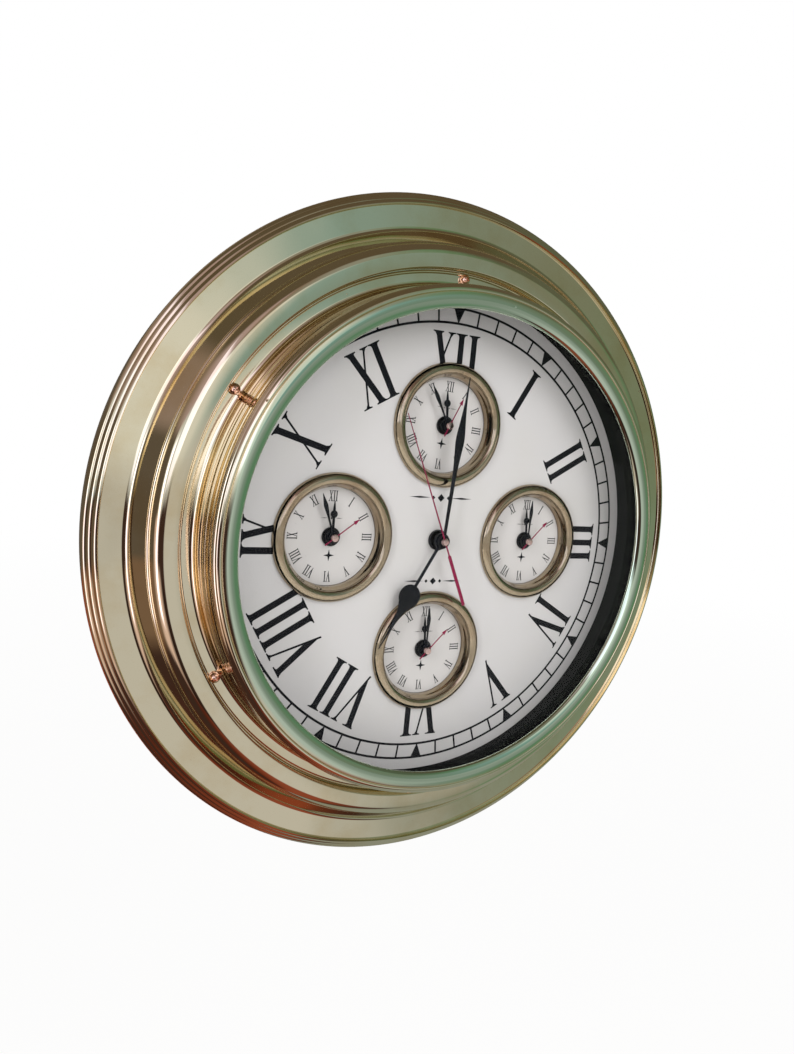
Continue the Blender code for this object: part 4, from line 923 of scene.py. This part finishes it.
def numeral(hour, style, baseline):
    """The (x, z) outlines of an hour's numeral at its place round a dial."""
    outlines = []
    along = 0.0
    text = ROMAN[hour % 12]
    for i, kind in enumerate(text):
        if i:
            along += GAPS[text[i - 1] + kind] * style["wide"]
        shapes, width = letter(kind, style)
        outlines += [[(along + u, v) for u, v in shape] for shape in shapes]
        along += width
    a = radians(30 * hour)
    return [[((u - along / 2) * cos(a) + (baseline + v) * sin(a),
              (along / 2 - u) * sin(a) + (baseline + v) * cos(a)) for u, v in shape]
            for shape in outlines]


# %% Main numerals
DIAL_FACE = levels("main_dial")[1]
INK = 0.05
MAIN_BASELINE = 82.3
CLEAR_OF_BEZEL = 31.2
AWAY = 400.0

ink = clouded("black_screen_print_ink", [(0.0, "#131317"), (0.5, "#16161b"), (1.0, "#1f1f24")],
              6.0, 4.0, Roughness=0.8, IOR=1.5, Specular_IOR_Level=0.12)

small_centres = {clock: centre_of(f"{clock}_dial") for clock in CLOCKS}
under_bezel = {12: "top", 3: "right", 6: "bottom", 9: "left"}
numerals = []
for hour in range(1, 13):
    at = small_centres[under_bezel[hour]] if hour in under_bezel else (AWAY, AWAY)
    shapes = [plate(outline, DIAL_FACE, DIAL_FACE + INK)
              for outline in numeral(hour, MAIN_TYPE, MAIN_BASELINE)]
    hole = oblong(0, CLEAR_OF_BEZEL, DIAL_FACE - 1, DIAL_FACE + 1)
    numerals.append(combined(gather(shapes), turned(hole, SMALL, at)))
piece("hour_numerals", gather(numerals), ink, "case")

# %% [markdown]
# ## Minute track and ornaments
#
# Two rings with a tick for each minute make the railway track, and a triangle marks each hour.
# Above and below the hands, where a real dial is often lettered, this one has a plain printer's
# ornament: a rule with lozenges, which is generic and belongs to nobody.

# %% Minute track and ornaments
TRACK = (117.0, 125.0)
TRACK_LINE = 1.25
TICK = 1.1
HOUR_MARK = 7.0


def ring_plate(middle, line, low, high):
    """A flat printed ring."""
    return turned(oblong(middle - line / 2, middle + line / 2, low, high), FINE)


def turned_outline(outline, angle):
    """An (x, z) outline turned to a clock angle."""
    a = radians(angle)
    return [(x * cos(a) + z * sin(a), z * cos(a) - x * sin(a)) for x, z in outline]


track = [ring_plate(radius, TRACK_LINE, DIAL_FACE, DIAL_FACE + INK) for radius in TRACK]
for minute in range(60):
    if minute % 5:
        mark = oblong(-TICK / 2, TICK / 2, *TRACK)
    else:
        mark = [(-0.1, TRACK[0]), (0.1, TRACK[0]), (HOUR_MARK / 2, TRACK[1]),
                (-HOUR_MARK / 2, TRACK[1])]
    track.append(plate(turned_outline(mark, 6 * minute), DIAL_FACE, DIAL_FACE + INK * 0.8))
piece("minute_track", gather(track), ink, "case")


def lozenge(x, z, half_width, half_height):
    """An upright lozenge about its middle."""
    return [(x - half_width, z), (x, z - half_height), (x + half_width, z), (x, z + half_height)]


def rule(x, z, length, thickness):
    """A printer's swelled rule: thickest in the middle, with pointed ends."""
    return [(x - length / 2, z), (x, z - thickness / 2), (x + length / 2, z),
            (x, z + thickness / 2)]


def ornament(z, scale):
    """A large lozenge between two small ones and two swelled rules."""
    shapes = [lozenge(0, z, 1.9 * scale, 1.9 * scale)]
    for side in (-1, 1):
        shapes.append(lozenge(side * 4.2 * scale, z, 1.0 * scale, 1.0 * scale))
        shapes.append(rule(side * 11.6 * scale, z, 11.6 * scale, 0.95 * scale))
    return shapes


ORNAMENTS = ((23.2, 1.15), (-23.2, 1.05))
marks = [plate(shape, DIAL_FACE, DIAL_FACE + INK) for place in ORNAMENTS
         for shape in ornament(*place)]
piece("dial_ornaments", gather(marks), ink, "case")

# %% [markdown]
# ## Print on the small dials
#
# The small dials have thin grey numerals whose serifs nearly join, so that they read as a ring of
# fine strokes. One clock's print is turned a few degrees, as the photograph shows. Each has a
# small rule with lozenges above its hands and a compass star below.

# %% Print on the small dials
SMALL_BASELINE = 18.4
SMALL_FACE = levels("top_dial")[1]
PRINT_TURN = {"top": 3.7, "right": 0.0, "bottom": 0.0, "left": 0.0}
STAR = 3.2
STAR_WAIST = 0.62
STAR_AT = -10.0
SMALL_ORNAMENT = (9.6, 0.36)

fine_ink = clouded("grey_screen_print_ink",
                   [(0.0, "#131317"), (0.5, "#17171c"), (1.0, "#222227")], 3.0, 4.0,
                   Roughness=0.8, IOR=1.5, Specular_IOR_Level=0.12)


def star(z, point, waist):
    """A compass star with four long points."""
    points = []
    for quarter in range(4):
        points.append(polar(point, 90 * quarter))
        points.append(polar(waist * sqrt(2), 90 * quarter + 45))
    return [(x, z + up) for x, up in points]


for clock in CLOCKS:
    shapes = [outline for hour in range(1, 13)
              for outline in numeral(hour, SMALL_TYPE, SMALL_BASELINE)]
    marks = ornament(*SMALL_ORNAMENT) + [star(STAR_AT, STAR, STAR_WAIST)]
    far = turned(oblong(0, 1, 0, 1), TINY, (AWAY, AWAY))
    raised = gather([plate(shape, SMALL_FACE, SMALL_FACE + INK) for shape in shapes + marks])
    piece(f"{clock}_clock_print", combined(raised, far), fine_ink, "case",
          (), small_centres[clock], PRINT_TURN[clock])

# %% [markdown]
# ## Small bezels
#
# Each small clock sits in a turned brass bezel: a rounded band on the dial, a fine crease, and a
# sloping wall that runs down to the sunk small dial.

# %% Small bezels
SMALL_LAP = (30.3, 33.84)
SMALL_BACK = 27.8
SMALL_TOP = 31.0
SMALL_BEVEL = 29.1
SMALL_WALL = (26.1, 27.6)
SMALL_LIP = 26.5
LEDGE = (20.0, 21.0, 22.0)
CREASE_DEPTH = 0.25


def small_bezel_outline():
    """The whole section: ledge, skirt, round band, crease and the wall down to the dial."""
    band = arc((SMALL_LAP[0], SMALL_BACK), SMALL_LAP[1] - SMALL_LAP[0], 3, 90, 20,
               SMALL_TOP - SMALL_BACK)
    roll = arc((SMALL_LAP[0], SMALL_BEVEL), SMALL_LAP[0] - SMALL_WALL[1], 90, 172, 16,
               SMALL_TOP - SMALL_BEVEL)[1:]
    crease = [(SMALL_WALL[1] + 0.2, SMALL_BEVEL - CREASE_DEPTH),
              (SMALL_WALL[1] - 0.12, SMALL_BEVEL - 0.05)]
    wall = smooth([crease[-1], (SMALL_WALL[0] + 0.75, SMALL_LIP + 1.15),
                   (SMALL_WALL[0] + 0.12, SMALL_LIP), (SMALL_WALL[0], SMALL_LIP - 0.7)], 5)[1:]
    ledge, back, front = LEDGE
    return [(SMALL_LAP[0], back), (SMALL_LAP[0], SMALL_BACK), (SMALL_LAP[1], SMALL_BACK), *band,
            *roll, *crease, *wall, (SMALL_WALL[0], front), (ledge, front), (ledge, back)]


for clock in CLOCKS:
    piece(f"{clock}_clock_bezel", turned(small_bezel_outline(), SMALL), bezel_brass_with_painted_shade, "case",
          [f"{clock}_bezel"], small_centres[clock])

# %% [markdown]
# ## Bushes and nuts
#
# Every clock has a threaded bush that comes up through its dial, held by a blackened nut. The
# thread shows as fine bright rings round the hands' pipes. A thread this fine reads the same
# whether it climbs or not, so it is turned as plain rings.

# %% Bushes and nuts
BUSH = 4.0
THREAD_PITCH = 0.5
THREAD_DEPTH = 0.15
THREAD_INSET = 0.3
THREAD_START = 0.2
THREAD_ABOVE = {"main": 3.9, "small": 2.4}
NUT_ANGLE = 25
NUT_CHAMFER = 0.5
MAIN_NUT = (5.7, 5.3)
SMALL_NUT = (5.0, 4.65)
SPANNER_SLOT = (0.9, 1.0)

# Blackening leaves a dark oxide that thins out on edges, so it shines unevenly.
dark_steel = clouded("blackened_steel", [(0.0, "#1e1e21"), (0.5, "#2b2b2f"), (1.0, "#45454a")],
                     2.5, 4.0, haze=(0.28, 0.5), Metallic=1.0)


def nut_shape(radii, bore, low, high):
    """A round nut with a bevelled top and two slots for a pin spanner."""
    outer, top = radii
    ring = turned([(bore, low), (outer, low), (outer, high - NUT_CHAMFER), (top, high),
                   (bore, high)], SMALL)
    wide, depth = SPANNER_SLOT
    bar = oblong(-outer - 1, outer + 1, -wide / 2, wide / 2)
    return combined(ring, plate(bar, high - depth / 2, high + 1))


for clock in ("main", *CLOCKS):
    low, high = levels(f"{clock}_bush_nut")
    at = centre_of(f"{clock}_bush_nut")
    nut = nut_shape(MAIN_NUT if clock == "main" else SMALL_NUT, BUSH + THREAD_DEPTH, low, high)
    piece(f"{clock}_nut", nut, dark_steel, "case", [f"{clock}_bush_nut"], at,
          NUT_ANGLE)
    top = (DIAL_FACE + THREAD_ABOVE["main"] if clock == "main"
           else SMALL_FACE + THREAD_ABOVE["small"])
    start = high - THREAD_START
    rings = round((top - high) / THREAD_PITCH)
    thread = [(BUSH - THREAD_INSET, start)]
    for i in range(rings + 1):
        step = start + (top - start) * i / (rings + 1)
        thread.append((BUSH + THREAD_DEPTH - 0.02, step))
        thread.append((BUSH + 0.01, step + THREAD_PITCH / 2))
    thread.append((BUSH - THREAD_INSET, top))
    piece(f"{clock}_bush_thread", turned(thread, SMALL), dark_steel, "case", (), at)

# %% [markdown]
# ## Hands
#
# The hands are pressed from thin sheet and lacquered. Pressing raises a low ridge along the
# middle, so that each half catches the light in its own way. One function lofts a ridged blade
# through stations of distance and half width, all smooth curves like the real outline.

# %% Lacquers
LACQUER = {"size": 9.0, "grain": (0.8, 1.0, 0.1, 0.02), "IOR": 1.5, "Specular_IOR_Level": 0.2}
black_lacquer = clouded("black_hand_lacquer",
                        [(0.0, "#0b0c10"), (0.5, "#0e1015"), (1.0, "#151923")],
                        Roughness=0.32, **LACQUER)
crimson = clouded("crimson_hand_lacquer", [(0.0, "#7a173b"), (0.5, "#861b41"), (1.0, "#92254a")],
                  Roughness=0.4, **LACQUER)
# The caps are polished steel with fine scratches. Their pink base colour is a painted reflection.
cap_steel_with_painted_reflection = clouded("polished_steel_with_painted_pink_reflection", [(0.0, "#c9a9a4"), (0.5, "#d6b9b3"), (1.0, "#e0cbc6")],
                    0.4, 2.0, haze=(0.14, 0.3), Metallic=1.0)


# %% Blades and hubs
def blade(stations, low, thickness, ridge):
    """A blade along +Z: flat below, ridged above, through (distance, half width) stations."""
    shape = bmesh.new()
    rows = []
    for along, half in stations:
        crest = thickness + ridge * min(1.0, half / 0.8)
        section = [(-half, 0.0), (-half, thickness * 0.7), (-half * 0.5, (thickness + crest) / 2),
                   (0.0, crest), (half * 0.5, (thickness + crest) / 2), (half, thickness * 0.7),
                   (half, 0.0)]
        rows.append([shape.verts.new(spot(x, low + up, along)) for x, up in section])
    for row, following in zip(rows, rows[1:]):
        for i in range(len(row)):
            j = (i + 1) % len(row)
            shape.faces.new((row[i], row[j], following[j], following[i]))
    shape.faces.new(rows[0])
    shape.faces.new(rows[-1])
    bmesh.ops.recalc_face_normals(shape, faces=shape.faces)
    return shape


def collar(bore, radius, low, high, round_off=0.2):
    """A turned hub with rounded edges."""
    return turned([(bore, low), (radius, low), (radius, high - round_off),
                   (radius - round_off, high), (bore, high)], TINY)


def round_stations(at, radius, arm, steps=14):
    """Stations over a round blob, from where the arm enters it to where it is as thin again."""
    entry = degrees(asin(min(1.0, arm / radius)))
    turns = [radians(180 - entry + (entry * 2 - 180) * i / steps) for i in range(steps + 1)]
    return [(at + radius * cos(a), radius * sin(a)) for a in turns]


def cap_outline(rim, top, radius, edge, flange=()):
    """A round cap with a rounded top, from its rim up."""
    foot = flange or [(radius, rim)]
    return [(0, rim), *foot, *arc((radius - edge, top - edge), edge, 0, 90, 4), (0, top)]


# %% Hands
# A hand is its height, its blades with their ridges, and its hub: bore, radius, foot and top
# measured from the hand's own height, and the rounding of its edge.
HAND_SHEET = 0.5
RIDGE = 0.28
HOUR_STATIONS = [*round_stations(35, 6.6, 0.9)[:-3], (41.0, 3.9), (43.2, 2.7), (46.0, 1.75),
                 (50.0, 1.08), (58.0, 0.62), (67.5, 0.15)]
MINUTE_STATIONS = [(2.6, 0.9), (20, 1.05), (38, 1.3), (47, 2.0), (56, 2.7), (65, 1.75),
                   (74, 0.85), (82, 0.45), (89.7, 0.15)]
NEEDLE_STATIONS = [(-8.2, 0.4), (0, 0.4), (40, 0.28), (73.6, 0.15)]
TAIL_STATIONS = [(-38.6, 0.95), (-8.6, 0.95), (-8.2, 0.4)]
MAIN_HANDS = {
    "hour": (32.7, [([(3.2, 0.9), (20, 0.9), *smooth(HOUR_STATIONS, 4)], RIDGE)],
             (2.9, 4.4, -1.2, HAND_SHEET + 0.25, 0.2)),
    "minute": (34.4, [(smooth(MINUTE_STATIONS, 6), RIDGE)],
               (2.05, 3.6, -0.9, HAND_SHEET + 0.35, 0.2)),
    "second": (36.1, [(NEEDLE_STATIONS, 0.05), (TAIL_STATIONS, 0.1)], None),
}
SMALL_SHEET = 0.4
SMALL_HOUR_HEIGHT = 26.0
SMALL_HUB_FOOT = SMALL_FACE + 2.45 - SMALL_HOUR_HEIGHT
SMALL_HOUR = [(2.9, 0.7), (8, 0.7), *round_stations(12, 2.0, 0.7, 10), (14.7, 0.72), (16.6, 0.5),
              (18.8, 0.2)]
SMALL_MINUTE = [(2.4, 0.45), (8, 0.5), (11.5, 0.6), (14.5, 0.95), (17.5, 1.2), (19.8, 0.85),
                (21.7, 0.5), (24.0, 0.12)]
SMALL_NEEDLE = [(-6.5, 0.34), (0, 0.3), (13.3, 0.26)]
SMALL_ARROW = [(13.2, 1.1), (14.8, 0.6), (16.5, 0.06)]
SMALL_HANDS = {
    "hour": (SMALL_HOUR_HEIGHT, [(SMALL_HOUR, 0.15)],
             (2.4, 3.4, SMALL_HUB_FOOT, SMALL_SHEET + 0.1, 0.1)),
    "minute": (27.5, [(smooth(SMALL_MINUTE, 4), 0.18)], (1.5, 2.7, -0.8, SMALL_SHEET + 0.15, 0.1)),
    "second": (29.0, [(SMALL_NEEDLE, 0.04), (SMALL_ARROW, 0.1)], None),
}
FINISHES = {"hour": (black_lacquer, "hand_lacquer"), "minute": (black_lacquer, "hand_lacquer"),
            "second": (crimson, "crimson_lacquer")}
# Caps of the second hands: first the main clock's value, then a small clock's.
CAP_DROPS = (0.6, 0.7)
CAP_RADII = (1.9, 1.95)
CAP_EDGES = (0.5, 0.4)
CAP_FLANGE = 2.1
CAP_FLANGE_RISE = (0.5, 0.7)

for clock in ("main", *CLOCKS):
    small = clock != "main"
    at = small_centres[clock] if small else (0, 0)
    prefix = f"{clock}_clock_" if small else ""
    sheet = SMALL_SHEET if small else HAND_SHEET
    for kind, (low, blades, hub) in (SMALL_HANDS if small else MAIN_HANDS).items():
        shapes = [blade(stations, low, sheet, ridge) for stations, ridge in blades]
        if hub:
            bore, radius, foot, top, edge = hub
            shapes.append(collar(bore, radius, low + foot, low + top, edge))
        node = f"{clock}_{kind}_hand"
        finish, slot = FINISHES[kind]
        reach, angle = points_to(node, at)
        piece(f"{prefix}{kind}_hand", gather(shapes), finish, f"{clock}_{kind}", [node], at,
              angle)
        print(node, "reaches", round(reach, 1), "mm at", round(angle, 1), "degrees")
    rim = low - CAP_DROPS[small]
    radius = CAP_RADII[small]
    full, gone = CAP_FLANGE_RISE
    flange = () if small else [(CAP_FLANGE, rim), (CAP_FLANGE, rim + full), (radius, rim + gone)]
    button = cap_outline(rim, levels(node)[1], radius, CAP_EDGES[small], flange)
    piece(f"{prefix}cap" if small else "second_hand_cap", turned(button, TINY), cap_steel_with_painted_reflection,
          f"{clock}_second", (), at, angle)

# %% [markdown]
# ## Back cover
#
# The back is closed by a disc of sheet steel with a keyhole for the wall screw, held by six
# countersunk screws. It is powder coated: the powder melts into a dull skin with a fine pebbled
# grain, which the bump copies. The screws are zinc plated, so they show as small bright dots.

# %% Back cover
COVER_RADIUS = 175.4
COVER_EDGE = 0.35
COVER_FACE = 1.4
KEYHOLE = (140.0, 6.5)
KEYSLOT = (152.0, 2.8)
COVER_SCREWS = 172.0
SCREW_HEAD_RADIUS = 2.5
SCREW_SHANK = 1.2
SINK_GAP = 0.05
SINK_GAP_TOP = 0.02
COVER_CROSS = (1.25, 1.1)
SINK_DEPTH = 1.0

coat = clouded("charcoal_powder_coat", [(0.3, "#29292b"), (0.7, "#303032")], 50.0,
               grain=(0.7, 2.0, 0.5, 0.05), Roughness=0.55, IOR=1.5)

low, deep = levels("back_cover")
sheet = turned([(0, low), (COVER_RADIUS - COVER_EDGE, low), (COVER_RADIUS, low + COVER_EDGE),
                (COVER_RADIUS, COVER_FACE), (0, COVER_FACE)], FINE)
hole_at, hole_radius = KEYHOLE
slot_at, slot_half = KEYSLOT
entry = degrees(asin(slot_half / hole_radius))
keyhole = arc((0, hole_at), hole_radius, 90 + entry, 450 - entry, 40)
keyhole += arc((0, slot_at), slot_half, 0, 180, 16)
screw_places = [polar(COVER_SCREWS, 60 * i + 30) for i in range(6)]
cone = SCREW_HEAD_RADIUS + SINK_GAP
sinks = [turned([(0, low - 1), (cone + 1, low - 1), (cone - SINK_DEPTH, low + SINK_DEPTH),
                 (0, low + SINK_DEPTH)], TINY, at) for at in screw_places]
cover = combined(sheet, gather([plate(keyhole, low - 1, COVER_FACE + 1), *sinks]))
piece("coated_cover", cover, coat, "case", ["back_cover"])

# %% [markdown]
# ## Steel and plastic out of sight
#
# The movements, cells and knobs only show when the clock is taken apart, so they keep the fixed
# model's shapes. Each still gets the surface of its own material. Moulded plastic has faint flow
# marks and the fine grain of its mould. Bright metal has a light haze that changes along it.

# %% Plastics and bright metals
def moulded(name, base, shade, roughness, grain):
    """Moulded plastic: nearly one colour, with flow marks and a fine grain."""
    return clouded(name, [(0.3, base), (0.75, shade)], 12.0, 2.0, grain=(grain, 1.0, 0.3, 0.02),
                   Roughness=roughness, IOR=1.54)


def bright_metal(name, base, shade, smoothest, roughest, size):
    """Plated or drawn metal with a light haze."""
    return clouded(name, [(0.3, base), (0.75, shade)], size, haze=(smoothest, roughest),
                   Metallic=1.0)


HIDDEN_FINISHES = {
    "movement_plastic": moulded("moulded_black_abs", "#18191b", "#202123", 0.42, 0.4),
    "wheel_plastic": moulded("moulded_white_acetal", "#e2e0d8", "#d8d5cb", 0.48, 0.8),
    "cell_jacket": moulded("shrunk_pvc_cell_jacket", "#3b3d41", "#43464b", 0.30, 6.0),
    "arbor_steel": bright_metal("turned_arbor_steel", "#c2c1be", "#a9a8a5", 0.2, 0.36, 3.0),
    "coil": bright_metal("enamelled_copper_wire", "#b8734a", "#a05c36", 0.25, 0.42, 0.6),
}
zinc_plate = bright_metal("zinc_plated_steel", "#c9cac6", "#b6b5a8", 0.26, 0.44, 1.5)
hidden = 0
for name, node in sorted(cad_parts.items()):
    slot = node.material_slots[0]
    if slot.material.name in HIDDEN_FINISHES:
        slot.material = HIDDEN_FINISHES[slot.material.name]
        hidden += 1
print(hidden, "fixed nodes given a finish of steel, copper or plastic")

# %% Cover screws
screws = []
for at, turn in zip(screw_places, CROSS_ANGLES):
    sunk = low + SINK_GAP_TOP
    screw = turned([(0, sunk), (SCREW_HEAD_RADIUS, sunk),
                    (SCREW_SHANK, low + SCREW_HEAD_RADIUS - SCREW_SHANK), (SCREW_SHANK, deep),
                    (0, deep)], TINY)
    recess = plate(cross(COVER_CROSS[0], CROSS_HALF), low - 1, low + COVER_CROSS[1])
    screw = combined(screw, recess)
    bmesh.ops.rotate(screw, verts=screw.verts, cent=(0, 0, 0),
                     matrix=Matrix.Rotation(radians(turn), 3, "Y"))
    bmesh.ops.translate(screw, verts=screw.verts, vec=spot(at[0], 0, at[1]))
    screws.append(screw)
piece("cover_screws", gather(screws), zinc_plate, "case")
